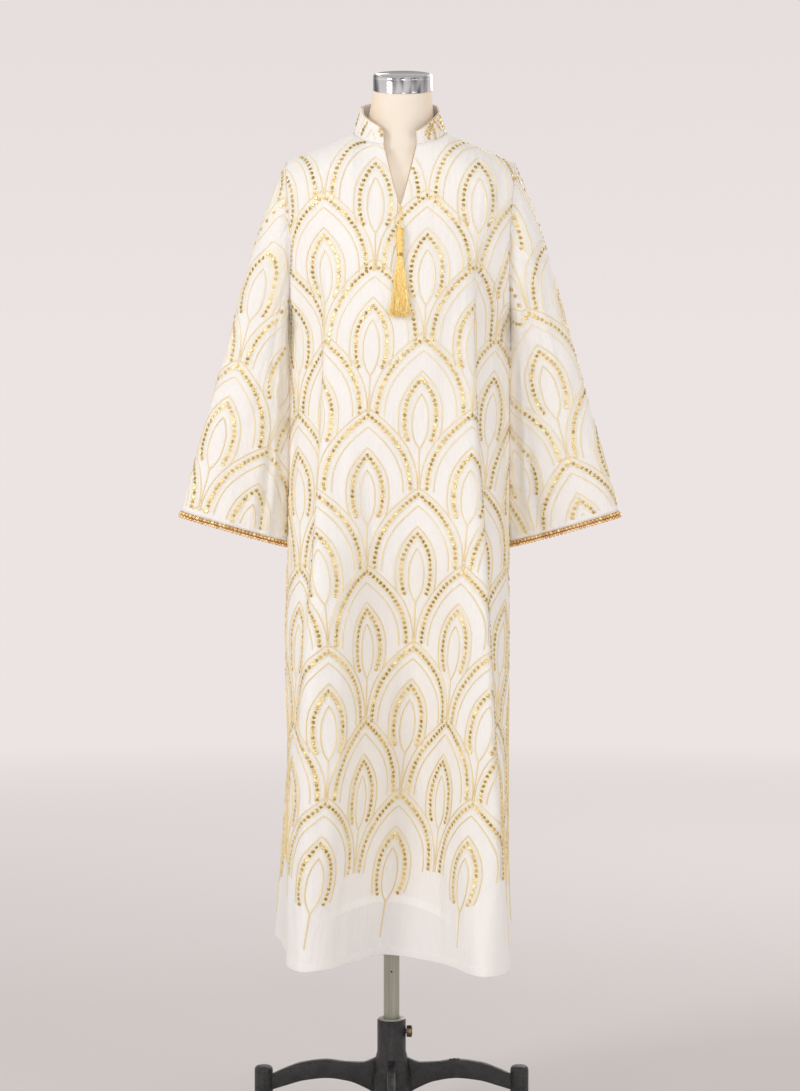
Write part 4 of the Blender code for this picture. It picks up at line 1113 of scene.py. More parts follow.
# half width, length, first and last depth below the leaf's tip, in mm
leafLines = {
    "outer": (36.5, 156, -13, 100),
    "inner": (13.5, 92, 24, 116),
    "sequins": (26, 130, 0, 101),
}


def motifSide(half, depths, start, shape, step):
    # one side of an arch or a leaf, in metres, with a point at every step
    line = np.stack((half * shape(depths), depths + start), axis=1) * mm
    along = lengthsAlong(line)
    count = max(int(round(along[-1] / step)), 2)
    return interpolated(np.linspace(0, along[-1], count + 1), along, line)


def archSide(kind, step):
    half, full, start, end = archLines[kind]
    depths = np.linspace(0, end - start, 60)
    return motifSide(half, depths, start, lambda depth: 1 - np.clip(1 - depth / full, 0, 1) ** 2.5, step)


def leafSide(kind, step):
    half, length, start, end = leafLines[kind]
    depths = np.linspace(0, end - start, 60)
    return motifSide(half, depths, start, lambda depth: 1 - np.abs(2 * depth / length - 1) ** 2.4, step)


def wholeLine(side):
    # both sides of an arch or a leaf, through its tip
    return np.concatenate((side[:0:-1] * (-1, 1), side))


def motifLines():
    # the threads of one arch and its leaf, and the rows of sequins, from the arch's apex
    fine, pitch = embroidery["sampling"], embroidery["sequinPitch"]
    low = embroidery["leafDrop"]

    def sides(kind, step):
        return archSide(kind, step), leafSide(kind, step) + (0, low)

    threads = [wholeLine(side) for kind in ("outer", "inner") for side in sides(kind, fine)]
    stem = np.array(((0, low + embroidery["stemStart"]), (0, low + embroidery["stemEnd"])))
    count = int(round((stem[1, 1] - stem[0, 1]) / fine))
    threads.append(np.linspace(stem[0], stem[1], count + 1))
    sequins = [np.concatenate((side, side[1:] * (-1, 1))) for side in sides("sequins", pitch)]
    bands = []
    for line in (wholeLine(side) for side in sides("sequins", fine)):
        ways = np.gradient(line, axis=0)
        aside = np.stack((-ways[:, 1], ways[:, 0]), axis=1) / np.linalg.norm(ways, axis=1)[:, None]
        bands.append([line + aside * reach for reach in embroidery["bandReaches"]])
    return threads, bands, np.concatenate(sequins)


def runsOf(points, kept):
    # the unbroken runs of the points that are kept
    breaks = np.flatnonzero(np.diff(kept)) + 1
    for run, keep in zip(np.split(points, breaks), np.split(kept, breaks)):
        if keep[0] and len(run) > 1:
            yield run


def makeThreads(name, runs, radius, material, radii=None):
    line = bpy.data.curves.new(name, "CURVE")
    line.dimensions = "3D"
    line.bevel_depth = radius
    line.bevel_resolution = 0
    line.resolution_u = 1
    line.use_fill_caps = True
    for run in runs:
        spline = line.splines.new("POLY")
        spline.points.add(len(run) - 1)
        spline.points.foreach_set("co", np.insert(run, 3, 1.0, axis=1).ravel())
        if radii is not None:
            spline.points.foreach_set("radius", np.interp(np.linspace(0, 1, len(run)), *radii))
    holder = bpy.data.objects.new(name + "Line", line)
    bpy.context.scene.collection.objects.link(holder)
    mesh = bpy.data.meshes.new_from_object(holder.evaluated_get(bpy.context.evaluated_depsgraph_get()))
    mesh.name = name
    mesh.materials.clear()
    bpy.data.objects.remove(holder)
    return addMesh(name, mesh, material)


def makeBands(name, strips, material):
    # ribbons of close stitching, each a list of its long lines; a gap is left where one is off
    # the cloth
    corners, polys, runs, sides = [], [], [], []
    for lines, out, kept in strips:
        if np.cross(lines[0][1] - lines[0][0], lines[-1][0] - lines[0][0]) @ out[0] < 0:
            lines = lines[::-1]
        first, count = sum(len(part) for part in corners), len(lines[0])
        corners += lines
        for number in range(len(lines)):
            runs += list(np.arange(count) * embroidery["sampling"])
            sides += [number / (len(lines) - 1) * 2 - 1] * count
        for column in range(len(lines) - 1):
            for corner in first + column * count + np.flatnonzero(kept[1:] & kept[:-1]):
                polys.append((corner, corner + 1, corner + count + 1, corner + count))
    mesh = meshOf(name, corners, np.array(polys).tolist(), run=runs, side=sides)
    work = bmesh.new()
    work.from_mesh(mesh)
    bmesh.ops.delete(work, geom=[vert for vert in work.verts if not vert.link_faces], context="VERTS")
    work.to_mesh(mesh)
    work.free()
    return addMesh(name, mesh, material)


def sequinShape():
    # a small cupped disc, its rim down on the cloth
    work = bmesh.new()
    radius, height = embroidery["sequinRadius"], embroidery["sequinHeight"]
    bmesh.ops.create_cone(
        work, cap_ends=True, segments=embroidery["sequinSides"],
        radius1=radius, radius2=radius * 0.90, depth=height,
    )
    bmesh.ops.translate(work, verts=work.verts, vec=(0, 0, height / 2))
    top = [face for face in work.faces if face.normal.z > 0.9]
    bmesh.ops.inset_individual(work, faces=top, thickness=radius * 0.22, depth=embroidery["sequinCup"])
    under = [face for face in work.faces if face.normal.z < -0.9]
    bmesh.ops.delete(work, geom=under, context="FACES_ONLY")
    return taken(work)


def taken(work):
    # a built shape's corners and faces, for strewing
    work.verts.index_update()
    points = np.array([vert.co[:] for vert in work.verts])
    faces = [[vert.index for vert in face.verts] for face in work.faces]
    work.free()
    return points, faces


def beadShape(subdivisions, radius):
    work = bmesh.new()
    bmesh.ops.create_icosphere(work, subdivisions=subdivisions, radius=radius)
    return taken(work)


def repeated(faces, count, corners):
    return [[corner + number * corners for corner in face] for number in range(count) for face in faces]


def strew(name, shape, places, ways, material, tilt=0.2, alongs=None, smooth=False, paintedCentre=0):
    # copies of one shape joined in a mesh, each standing along its way out, a little askew;
    # when a count of last corners is given, those corners (a sequin's cupped centre) get a tint of
    # their own, a painted reflection darker than the rim and darkest in slow waves over the gown
    points, faces = shape
    verts, tints = [], []
    for number, (place, way) in enumerate(zip(places, ways)):
        lean = Vector(way) + Vector([random.uniform(-tilt, tilt) for _ in range(3)])
        if alongs is None:
            turn = lean.to_track_quat("Z", "Y").to_matrix()
            spun = turn @ Matrix.Rotation(random.uniform(0, 3.1), 3, "Z")
        else:
            side = lean.normalized().cross(Vector(alongs[number])).normalized()
            spun = Matrix((side.cross(lean.normalized()), side, lean.normalized())).transposed()
        verts.append(points @ np.array(spun).T + np.array(place))
        if paintedCentre:
            # painted reflection: darker centres, darkest in slow waves over the gown
            x, z = place[0], place[2]
            tone = 0.27 + 0.36 * math.sin(37 * x + 43 * z) * math.sin(41 * z - 29 * x + 2)
            tints += [random.uniform(0.56, 0.86)] * (len(points) - paintedCentre)
            tints += [min(max(tone + random.uniform(-0.2, 0.2), 0), 1)] * paintedCentre
        else:
            tints += [random.random()] * len(points)
    mesh = meshOf(name, verts, repeated(faces, len(verts), len(points)), tint=tints)
    return addMesh(name, mesh, material, smooth=smooth)


def strewSequins(name, places, ways):
    return strew(name, sequinShape(), places, ways, sequinGold, paintedCentre=embroidery["sequinSides"])


def embroider(name, surface, apexes, lean=None):
    # the motif laid at every apex, each piece of it where the cloth is
    threads, bands, sequins = motifLines()
    runs, strips, places, ways = [], [], [], []

    def laid(line, s, t, lift):
        flat = (s, t) + line * (1, -1)
        if lean:
            flat[:, 0] += lean(flat[:, 1])
        return surface.fit(flat, lift)

    for s, t in apexes:
        for thread in threads:
            points, out, kept = laid(thread, s, t, embroidery["threadLift"])
            runs += list(runsOf(points, kept))
        for band in bands:
            lines = [laid(line, s, t, lift) for line, lift in zip(band, embroidery["bandLifts"])]
            kept = np.all([line[2] for line in lines], axis=0)
            if kept.sum() > 1:
                strips.append(([line[0] for line in lines], lines[0][1], kept))
        points, out, kept = laid(sequins, s, t, embroidery["sequinLift"])
        places += list(points[kept])
        ways += list(out[kept])
    pieces = [
        makeThreads(name + "Threads", runs, embroidery["threadRadius"], threadGold),
        makeBands(name + "Bands", strips, threadYellow),
        strewSequins(name + "Sequins", places, ways),
    ]
    print(name, len(runs), "threads", len(places), "sequins")
    return pieces


def bodyApexes(shift):
    pitch = embroidery["columnPitch"]
    for row, height in enumerate(embroidery["rowHeights"]):
        for column in range(-6, 7):
            if (column + row + shift) % 2 == 0:
                yield column * pitch, height * mm


def sleeveApexes():
    for column in range(-7, 4):
        for row in range(-6, 8):
            if (column + row) % 2 == 0:
                yield column * embroidery["columnPitch"], row * embroidery["sleeveRow"]


def frontLean(t):
    # the front's columns lean a little to the left going down
    return (4 + 41 * np.clip((t - 0.6) / 0.9, -0.3, 1)) * mm


# ---- collar

collar = {
    "wall": 1.6 * mm,
    "sideHeight": 42.5 * mm,
    "endHeight": 34 * mm,
    "lean": 14 * mm,
    "endStart": 0.1,
    "endUpright": 0.7,
    "roundEnd": 16 * mm,
    "slopedLeft": (40 * mm, 6 * mm),
    "slopedRight": (52 * mm, 11 * mm),
    "reach": 229 * mm,
    "outward": 3.4,
    "grid": (170, 12),
    "crowding": 0.085,
    "edgePoints": 150,
    "edgingRadius": 0.8 * mm,
    "threadRadius": 0.9 * mm,
    "beadRadius": 1.5 * mm,
    # two flat places round the neck and up, in mm: the ends of each row of small beads
    "beadRows": (((44, 12), (62, 34)), ((50, 8), (68, 30)), ((64, 36), (84, 12)), ((72, 38), (92, 16))),
}
# flat place round the neck and height of each leaf's tip above the neck seam, in mm
collarLeaves = ((-52, 45), (76, 50), (-138, 44), (156, 46), (-222, 45), (236, 45), (40, 62))


class Collar:
    # a place on it is its distance round the neck from the front and a height above the seam
    def __init__(self):
        self.first = math.asin(cloth["slitHalfWidth"] / cloth["neckHalfWidth"])
        self.turns = np.linspace(0, math.pi, 181)
        across = cloth["neckHalfWidth"] * np.sin(self.turns)
        forward = cloth["neckHalfDepth"] * np.cos(self.turns)
        self.around = lengthsAlong(np.stack((across, -forward), axis=1))
        self.half = float(self.around[-1])
        self.end = float(np.interp(self.first, self.turns, self.around))

    def tall(self, s):
        turn = np.interp(np.abs(s), self.around, self.turns)
        last = math.cos(self.first)
        endness = np.maximum(0, (np.cos(turn) - collar["endStart"]) / (last - collar["endStart"]))
        tall = collar["sideHeight"] + (collar["endHeight"] - collar["sideHeight"]) * endness
        fromEnd = np.maximum(np.abs(s) - self.end, 0)
        reach = collar["roundEnd"]
        rounded = reach - np.sqrt(np.maximum(reach ** 2 - np.maximum(reach - fromEnd, 0) ** 2, 0))
        for sign, (length, drop) in ((-1, collar["slopedLeft"]), (1, collar["slopedRight"])):
            sloped = drop * np.clip(1 - fromEnd / length, 0, 1) ** 1.2
            tall = tall - np.where(s * sign > 0, sloped, 0.0)
        return tall - np.where(s < 0, rounded, 0.0), endness

    def at(self, s, up, lift=0.0):
        # up is a height above the neck seam
        tall, endness = self.tall(s)
        turn = np.interp(np.abs(s), self.around, self.turns)
        share = up / collar["sideHeight"]
        lean = collar["lean"] * share * (1 - collar["endUpright"] * np.minimum(endness, 1))
        # the cotton isn't quite even: two slow waves
        lean += (1.1 * np.sin(s / mm / 19) + 0.7 * np.sin(s / mm / 8.5 + 1)) * share * mm
        wide, deep = cloth["neckHalfWidth"], cloth["neckHalfDepth"]
        draw, forward = 1 - lean / wide, np.cos(turn)
        x, y = np.sign(s) * wide * np.sin(turn), -deep * forward
        base = neckSeamAt(forward)
        upward = np.full(len(x), collar["outward"])
        out = unitWays(np.stack((x / wide ** 2, y / deep ** 2, upward), axis=1))
        points = np.stack((x * draw, cloth["ridgeY"] + y * draw, base + cloth["wall"] + up), axis=1)
        return points + out * np.reshape(lift, (-1, 1)), out

    def fit(self, places, lift):
        s, up = places[:, 0], places[:, 1]
        points, out = self.at(s, up, lift)
        beside = (np.abs(s) > self.end + 3 * mm) & (np.abs(s) < collar["reach"])
        return points, out, beside & (up > 1.5 * mm) & (up < self.tall(s)[0] - 2.5 * mm)


def makeCollar(band):
    end, length = band.end, 2 * (band.half - band.end)

    def place(across, up):
        # columns closer together at the two ends
        far = end + (across - collar["crowding"] * np.sin(math.tau * across)) * length
        s = np.where(far <= band.half, -far, 2 * band.half - far)
        tall = band.tall(s)[0]
        return band.at(s, up * tall)[0], np.stack((far + 3, up * tall), axis=1)

    work = clothGrid(*collar["grid"], place)
    piece = hang(
        "collarCloth", work, lambda where: Vector((where.x, where.y, 0)), cottonWhite, collar["wall"]
    )
    rounds = end + np.linspace(0, 1, collar["edgePoints"]) * length
    s = np.where(rounds < band.half, -rounds, 2 * band.half - rounds)
    lines = [band.at(s, band.tall(s)[0] - 0.9 * mm, 0.2 * mm)[0]]
    for side in (-1, 1):
        top = float(band.tall(np.array([side * end * 1.01]))[0][0])
        lines.append(band.at(np.full(8, side * end * 1.012), np.linspace(0.5 * mm, top, 8), 0.3 * mm)[0])
    makeThreads("collarEdging", lines, collar["edgingRadius"], edgeGold)
    seam = band.at(s, np.full(len(s), 0.2 * mm), -0.2 * mm)[0]
    makeThreads("neckSeam", [seam], collar["edgingRadius"], cottonSeam)
    runs, places, ways = [], [], []
    pitch = embroidery["sequinPitch"] * 0.9
    for side, tip in collarLeaves:
        kinds = ("outer", 0.3, 4 * mm), ("inner", 0.3, 4 * mm), ("sequins", 0.4, pitch)
        for kind, lift, step in kinds:
            flat = np.array((side, tip)) * mm + wholeLine(leafSide(kind, step)) * (1, -1)
            points, out, kept = band.fit(flat, lift * mm)
            if kind == "sequins":
                places += list(points[kept])
                ways += list(out[kept])
            else:
                runs += list(runsOf(points, kept))
    sewnOn = [
        makeThreads("collarThreads", runs, collar["threadRadius"], threadGold),
        strewSequins("collarSequins", places, ways),
    ]
    # small beads massed on the wearer's left
    places, ways = [], []
    for start, finish in collar["beadRows"]:
        for share in np.linspace(0, 1, 9):
            strayed = np.array((random.uniform(-1, 1), random.uniform(-1, 1)))
            flat = (np.array(start) * (1 - share) + np.array(finish) * share + strayed) * mm
            point, out, kept = band.fit(flat[None, :], 0.9 * mm)
            places += list(point[kept])
            ways += list(out[kept])
    beads = beadShape(1, collar["beadRadius"])
    sewnOn.append(strew("collarBeads", beads, places, ways, beadCopper, smooth=True))
    return piece, sewnOn


# ---- cuffs, seams, slit edge and hem

cuffBeads = {
    # how far below the cuff's edge, radius, and start along the row, in pitches
    "rows": ((3.0 * mm, 3.15 * mm, 0.0), (8.4 * mm, 3.0 * mm, 0.5)),
    "pitch": 6.7 * mm,
    "groundDrop": 5.6 * mm,
    "groundRadius": 1.0 * mm,
    "ringPoints": 721,
}


def makeCuff(name, sleeve, node):
    turns = np.linspace(-math.pi, math.pi, cuffBeads["ringPoints"])
    ring = sleeve.at(np.ones(len(turns)), turns)[0]
    around = lengthsAlong(ring)
    down = np.cross((0, sleeve.side, 0), ring[len(ring) // 2] - ring[0])
    down /= np.linalg.norm(down)
    count = int(round(around[-1] / cuffBeads["pitch"]))
    corners, faces = beadShape(2, 1.0)
    beads = []
    for drop, radius, shift in cuffBeads["rows"]:
        points = interpolated((np.arange(count) + shift) / count * around[-1], around, ring)
        beads += [corners * radius + point + down * drop for point in points]
    tints = np.repeat([random.random() for _ in beads], len(corners))
    mesh = meshOf(name, beads, repeated(faces, len(beads), len(corners)), tint=tints)
    piece = addMesh(name, mesh, beadCopper)
    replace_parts(piece, node)
    # a dark thread behind the bead rows, painting the shade between the beads
    ground = np.concatenate((ring[::6], ring[:1])) + down * cuffBeads["groundDrop"]
    makeThreads(name + "Ground", [ground], cuffBeads["groundRadius"], beadGapShade)
    return piece


trim = {
    "seamRadius": 0.95 * mm,
    "seamSink": -0.9 * mm,
    "shoulderReach": 196 * mm,
    "slitHalf": 26.2 * mm,
    "slitRadius": 0.85 * mm,
    "stitchSize": (2.3 * mm, 0.5 * mm, 0.35 * mm),
    "stitchHeight": 12.2 * mm,
    "stitchCount": 260,
}


def makeSeams():
    # down each side, round each armhole and along each shoulder
    runs = []
    for side, sleeve in ((-1, leftSleeve), (1, rightSleeve)):
        heights = np.linspace(cloth["underarm"], cloth["hem"] + 0.5 * mm, 170)
        runs.append(frontPanel.at(np.full(170, float(side)), heights, trim["seamSink"])[0])
        ring = sleeve.armhole(np.linspace(-math.pi, math.pi, 121))
        runs.append(ring + np.array((side * 0.3 * mm, 0, 0)))
        start = cloth["neckHalfWidth"]
        xs = side * (start + (trim["shoulderReach"] - start) * np.linspace(0.0, 1.0, 60))
        top = ridgeAbove(xs, True)[1] + cloth["wall"] - 0.4 * mm
        runs.append(np.stack((xs, np.full(60, cloth["ridgeY"]), top), axis=1))
    makeThreads("clothSeams", runs, trim["seamRadius"], cottonSeam)


def makeSlitEdge():
    share = trim["slitHalf"] / frontPanel.width(1.0, np.array([cloth["slitBottom"]]))[0]
    shares = np.linspace(-share, share, 61)
    points = frontPanel.at(shares, frontPanel.topAt(shares) - 0.9 * mm, 0.25 * mm)[0]
    makeThreads("slitEdging", [points], trim["slitRadius"], edgeGold)


def makeHemStitches():
    work = bmesh.new()
    bmesh.ops.create_cube(work, size=1.0)
    bmesh.ops.scale(work, vec=trim["stitchSize"], verts=work.verts)
    shape = taken(work)
    places, ways, alongs = [], [], []
    for panel in (frontPanel, backPanel):
        shares = np.linspace(-0.995, 0.995, trim["stitchCount"])
        points, out = panel.at(shares, hemAt(shares, panel.front) + trim["stitchHeight"], 0.5 * mm)
        places += list(points)
        ways += list(out)
        alongs += list(np.gradient(points, axis=0))
    return strew("hemStitches", shape, places, ways, cottonSeam, 0.0, alongs)


# ---- tassel

tassel = {
    "clearance": 0.7 * mm,
    "footLift": 1.6 * mm,
    "top": 1555 * mm,
    "headRadius": 5.7 * mm,
    "headLength": 46 * mm,
    "bandTop": 46.4,
    "bandRidges": 6,
    "bandPitch": 0.95,
    "threadRadius": 0.5 * mm,
    "cordRadius": 0.75 * mm,
    "knotRadius": 1.5 * mm,
    "skirtLength": 104 * mm,
    "strands": 340,
    "head": ((0, 1.7), (1.2, 3.2), (5, 4.8), (14, 5.5), (23, 5.7), (34, 5.5), (43, 5.1), (46, 3.7)),
    "spread": ((0, 3.6, 3.1), (0.1, 5.6, 3.5), (0.4, 9.8, 4.2), (0.75, 14.5, 5.2), (1.0, 18.6, 6.0)),
}


def beforePanel(height, clear):
    # a place straight in front of the front panel's centre line
    point = frontPanel.bare(np.zeros(1), np.array([height]))[0]
    return Vector(point) + Vector((0, -clear, 0))


def tasselFrame():
    clear = cloth["wall"] + tassel["clearance"] + tassel["headRadius"]
    low = tassel["top"] - tassel["headLength"] - tassel["skirtLength"]
    start = beforePanel(tassel["top"], clear)
    up = (start - beforePanel(low, clear + tassel["footLift"])).normalized()
    forward = up.cross(Vector((1, 0, 0))).normalized()
    turn = Matrix((forward.cross(up), forward, up)).transposed().to_4x4()
    return Matrix.Translation(start) @ turn


def inFrame(turn, points):
    return points @ np.array(turn.to_3x3()).T + np.array(turn.translation)


def helix(radiusAt, start, end, pitch, phase=0.0, sign=1, perTurn=14):
    # a thread wound round the Z axis between two heights
    count = max(int(abs(end - start) / pitch * perTurn), 4)
    height = np.linspace(start, end, count)
    angle = sign * math.tau * (height - start) / pitch + phase
    radius = radiusAt(height)
    return np.stack((radius * np.cos(angle), radius * np.sin(angle), height), axis=1)


def makeTassel():
    turn, fine = tasselFrame(), tassel["threadRadius"]
    profile = [(radius, -depth) for depth, radius in tassel["head"]]
    head = lathe([(0, 0), *profile, (3.4, -56), (0, -56)], 32)
    piece = addPiece("tasselHead", moved(head, turn), silkYellow)
    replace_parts(piece, "tassel")
    depths, radii = np.array(tassel["head"]).T * mm

    def headRadius(height):
        return np.interp(-height, depths, radii)

    def netRadius(height):
        return headRadius(height) + 0.75 * mm

    wound = inFrame(turn, helix(headRadius, -1.5 * mm, -45 * mm, 0.95 * mm))
    makeThreads("tasselWinding", [wound], fine, silkYellow)
    net = [
        inFrame(turn, helix(netRadius, -9 * mm, -43 * mm, 34 * mm, strand * math.pi / 2, sign, 30))
        for sign in (-1, 1) for strand in range(4)
    ]
    makeThreads("tasselNet", net, fine, silkYellow)
    strands = []
    steps = np.linspace(0, 1, 10)
    shares, wides, deeps = np.array(tassel["spread"]).T
    for number in range(tassel["strands"]):
        angle, out = random.uniform(0, math.tau), math.sqrt(random.uniform(0.02, 1))
        wide, deep = np.interp(steps, shares, wides) * mm, np.interp(steps, shares, deeps) * mm
        phase, wave = random.uniform(0, 6), random.uniform(0.3, 1.7) * mm
        x = out * math.cos(angle) * wide + wave * steps * np.sin(9 * steps + phase)
        y = out * math.sin(angle) * deep * 0.95 + 0.4 * wave * steps * np.cos(6 * steps + phase)
        length = tassel["skirtLength"] * random.uniform(0.95, 1.055)
        z = -tassel["headLength"] - 4 * mm - (length - 4 * mm) * steps
        # none goes back into the cloth
        strands.append(inFrame(turn, np.stack((x, np.maximum(y, -6.6 * mm), z), axis=1)))
    makeThreads("tasselStrands", strands, fine, silkYellow, ((0, 0.7, 1), (1.0, 0.9, 0.6)))
    ridges, high = [], -tassel["bandTop"]
    for ring in range(tassel["bandRidges"]):
        low = high - ring * tassel["bandPitch"]
        ridges += [(4.55, low), (5.0, low - 0.3), (5.0, low - 0.65), (4.55, low - 0.95)]
    band = lathe([(3.9, high), *ridges, (3.9, high - 5.7), (3.9, high)], 28)
    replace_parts(addPiece("tasselBand", moved(band, turn), bandGilt), "tassel_band")
    upper = lathe([(4.6, -5.2), (5.6, -5.5), (5.9, -6.6), (5.6, -7.7), (4.6, -8.0)], 28)
    addPiece("tasselUpperRing", moved(upper, turn), bandGilt)
    # the cord: two strands twisted together, with a knot at the slit's point
    start = beforePanel(cloth["slitBottom"] - 2 * mm, cloth["wall"] + tassel["clearance"] + 1.3 * mm)
    span = turn @ Vector((0, 0, 0.3 * mm)) - start
    cordTurn = Matrix.Translation(start) @ span.to_track_quat("Z", "Y").to_matrix().to_4x4()

    def wind(radius, *rest):
        return inFrame(cordTurn, helix(lambda height: np.full(len(height), radius), *rest))

    twisted = [wind(0.7 * mm, 0, span.length, 5 * mm, phase, 1, 12) for phase in (0, math.pi)]
    cord = makeThreads("tasselCord", twisted, tassel["cordRadius"], silkYellow)
    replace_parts(cord, "tassel_cord")
    knot = wind(tassel["knotRadius"], 1 * mm, 5.5 * mm, 1.5 * mm)
    makeThreads("tasselKnot", [knot], tassel["cordRadius"], silkYellow)


# ---- dress form and stand

form = {
    "poleX": -14.5,
    "bottom": 950,
    "level": 1450,
    "clearance": 0.8,
    "neckTop": 1789,
    "neckTopX": 4.5,
    "tilt": math.radians(13),
    "neckRadius": 49.8,
    # height, half width, front and back depth, all in mm
    "torso": (
        (950, 136, 68, 96), (990, 147, 78, 104), (1040, 147, 86, 101), (1110, 132, 86, 88),
        (1180, 118, 82, 78), (1280, 130, 94, 80), (1380, 148, 108, 88), (1450, 157, 103, 93),
        (1520, 166, 90, 90), (1580, 174, 78, 80), (1620, 178, 68, 70), (1650, 178, 62, 64),
    ),
    # distance out on the shoulder ridge, front and back depth, and how sharply it thins
    "shoulders": (
        (169, 58.4, 60.5, 1.3), (156, 57.3, 59.5, 1.5), (134, 55.8, 58.3, 2.0), (110, 54.4, 57.2, 2.6),
        (88, 53.2, 56.2, 3.2),
    ),
    "neck": ((1722, 66, 52, 56, 2.2), (1737, 57, 51, 54, 1.3), (1757, 53, 50.5, 52, 1.0)),
    "underCap": 1773,
    "grid": (112, 126),
    # radius and height above the neck's top, in mm
    "cap": (
        (0, 26.2), (44, 26.2), (45.5, 26.9), (47.5, 26.9), (49.0, 26.2), (49.8, 24.8), (50.0, 23),
        (50.0, 20.4), (49.6, 20.0), (50.0, 19.6), (50.0, 2.2), (50.4, 1.6), (50.4, 0.8), (50.0, 0.3),
        (0, 0.3),
    ),
}


def makeForm():
    rings = [(*row, 1.0, 0.0) for row in form["torso"]]
    for x, front, back, taper in form["shoulders"]:
        top = float(ridgeAbove(np.array([x * mm]), True)[1][0]) / mm - form["clearance"]
        rings.append((top, x, front, back, taper, 0.0))
    rings += [(*row, 0.0) for row in form["neck"]]
    radius = form["neckRadius"]
    rings.append((form["underCap"], *[radius + 1] * 3, 1.0, form["tilt"] / 2))
    rings.append((form["neckTop"], *[radius] * 3, 1.0, form["tilt"]))
    table = [(number, *ring) for number, ring in enumerate(rings)]

    def place(across, up):
        height, half, front, back, taper, tilt = readRows(table, up * (len(table) - 1)).T
        turn = across * math.tau
        forward = np.cos(turn)
        depth = np.where(forward > 0, -front, back) * np.abs(forward) ** taper
        rise = np.clip((height - form["bottom"]) / (form["level"] - form["bottom"]), 0, 1)
        ridge = cloth["ridgeHeight"] / mm
        lean = np.clip((height - ridge) / (form["neckTop"] - ridge), 0, 1) * form["neckTopX"]
        x = form["poleX"] * (1 - rise) + lean + half * np.sin(turn)
        y = cloth["ridgeY"] / mm + depth * np.cos(tilt)
        points = np.stack((x, y, height + depth * np.sin(tilt)), axis=1) * mm
        return points, np.stack((across * 0.55, height * mm), axis=1)

    work = clothGrid(*form["grid"], place)
    bmesh.ops.remove_doubles(work, verts=work.verts, dist=sheet["doubles"])
    bmesh.ops.holes_fill(work, edges=[edge for edge in work.edges if edge.is_boundary], sides=0)
    bmesh.ops.recalc_face_normals(work, faces=work.faces)
    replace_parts(addPiece("formCover", work, jerseyCream), "torso_form")
    top = Vector((form["neckTopX"] * mm, cloth["ridgeY"], form["neckTop"] * mm))
    capTurn = Matrix.Translation(top) @ Matrix.Rotation(form["tilt"], 4, "X")
    cap = lathe(form["cap"], 96)
    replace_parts(addPiece("neckCapPolished", moved(cap, capTurn), chromeBright), "neck_cap")


stand = {
    "poleRadius": 13.5,
    "poleTop": 949.6,
    "poleBottom": 115,
    "holeShadeHeight": 291,
    "holeShadeRadius": 1.7 * mm,
    "bossReach": 219.5,
    # distance from the pole, then height
    "armTop": (
        (16, 146), (30, 139), (50, 132), (78, 133), (111, 137), (153, 132), (182, 122), (208, 110),
    ),
    "armLower": ((208, 84), (182, 92), (150, 101), (111, 105), (75, 100), (45, 88), (16, 70)),
    "armSteps": 40,
    "armHalf": 7 * mm,
    "armRounding": 2.5 * mm,
    # radius, then height
    "hub": (
        (20.5, 206.5), (23.6, 206.5), (24.5, 205.4), (24.5, 152), (27, 142), (31, 130), (34, 112),
        (34, 92), (30, 76), (30, 25), (29, 24), (20.5, 24), (20.5, 206.5),
    ),
    "boss": (
        (0, 126.7), (8, 126.5), (12, 125.4), (14.6, 123), (15.7, 119.5), (15.7, 31), (14.7, 30), (0, 30),
    ),
    "bushing": (
        (13.8, 207.2), (14.4, 209.0), (21.0, 209.2), (22.3, 208.4), (22.3, 206.8), (20.2, 206.8),
        (20.2, 146.5), (13.8, 146.5), (13.8, 207.2),
    ),
    "pad": (
        (0, 29.7), (13.4, 29.7), (14.2, 28.8), (16.2, 15.0), (17.6, 12.6), (19.0, 11.4), (19.0, 8.6),
        (18.4, 8.0), (19.0, 7.4), (19.0, 1.2), (18.2, 0), (0, 0),
    ),
    # the plain raised mark on the right arm: distances and heights of its bumps, and their size
    "bumps": ((102, 136.6), (108, 137.4), (114, 137.2)),
    "bumpSize": (3.2 * mm, 4.2 * mm, 1.4 * mm),
    "screwHeight": 185.5 * mm,
    # radius, then distance out along the screw
    "screw": (
        (0, 35.5), (6.5, 35.5), (7.0, 34.9), (8.8, 34.9), (9.8, 34.2), (10.0, 33.4), (10.0, 27.0),
        (9.6, 26.0), (5.6, 25.5), (4.0, 25.5), (4.0, 20.5), (0, 20.5),
    ),
    "flutes": 40,
    "fluteDepth": 0.045,
}


def makeArm():
    # a cast bar on edge, its edges rounded
    tall = readRows(stand["armTop"], np.linspace(16, 208, stand["armSteps"]))[:, 0]
    xs = np.linspace(16, 208, stand["armSteps"])
    low = readRows(stand["armLower"], xs)[:, 0]
    work = bmesh.new()
    rim = [*zip(xs, tall), *zip(xs[::-1], low[::-1])]
    face = work.faces.new([work.verts.new((x * mm, 0, z * mm)) for x, z in rim])
    half = stand["armHalf"]
    grown = bmesh.ops.extrude_face_region(work, geom=[face])["geom"]
    bmesh.ops.translate(work, verts=work.verts, vec=(0, -half, 0))
    grown = [part for part in grown if isinstance(part, bmesh.types.BMVert)]
    bmesh.ops.translate(work, verts=grown, vec=(0, 2 * half, 0))
    bmesh.ops.recalc_face_normals(work, faces=work.faces)
    rims = [edge for edge in work.edges if abs(edge.verts[0].co.y - edge.verts[1].co.y) < 0.1 * mm]
    bmesh.ops.bevel(
        work, geom=rims, offset=stand["armRounding"], segments=3,
        affect="EDGES", profile=0.5, material=-1,
    )
    return work


def turned(degrees, axis):
    return Matrix.Rotation(math.radians(degrees), 4, axis)


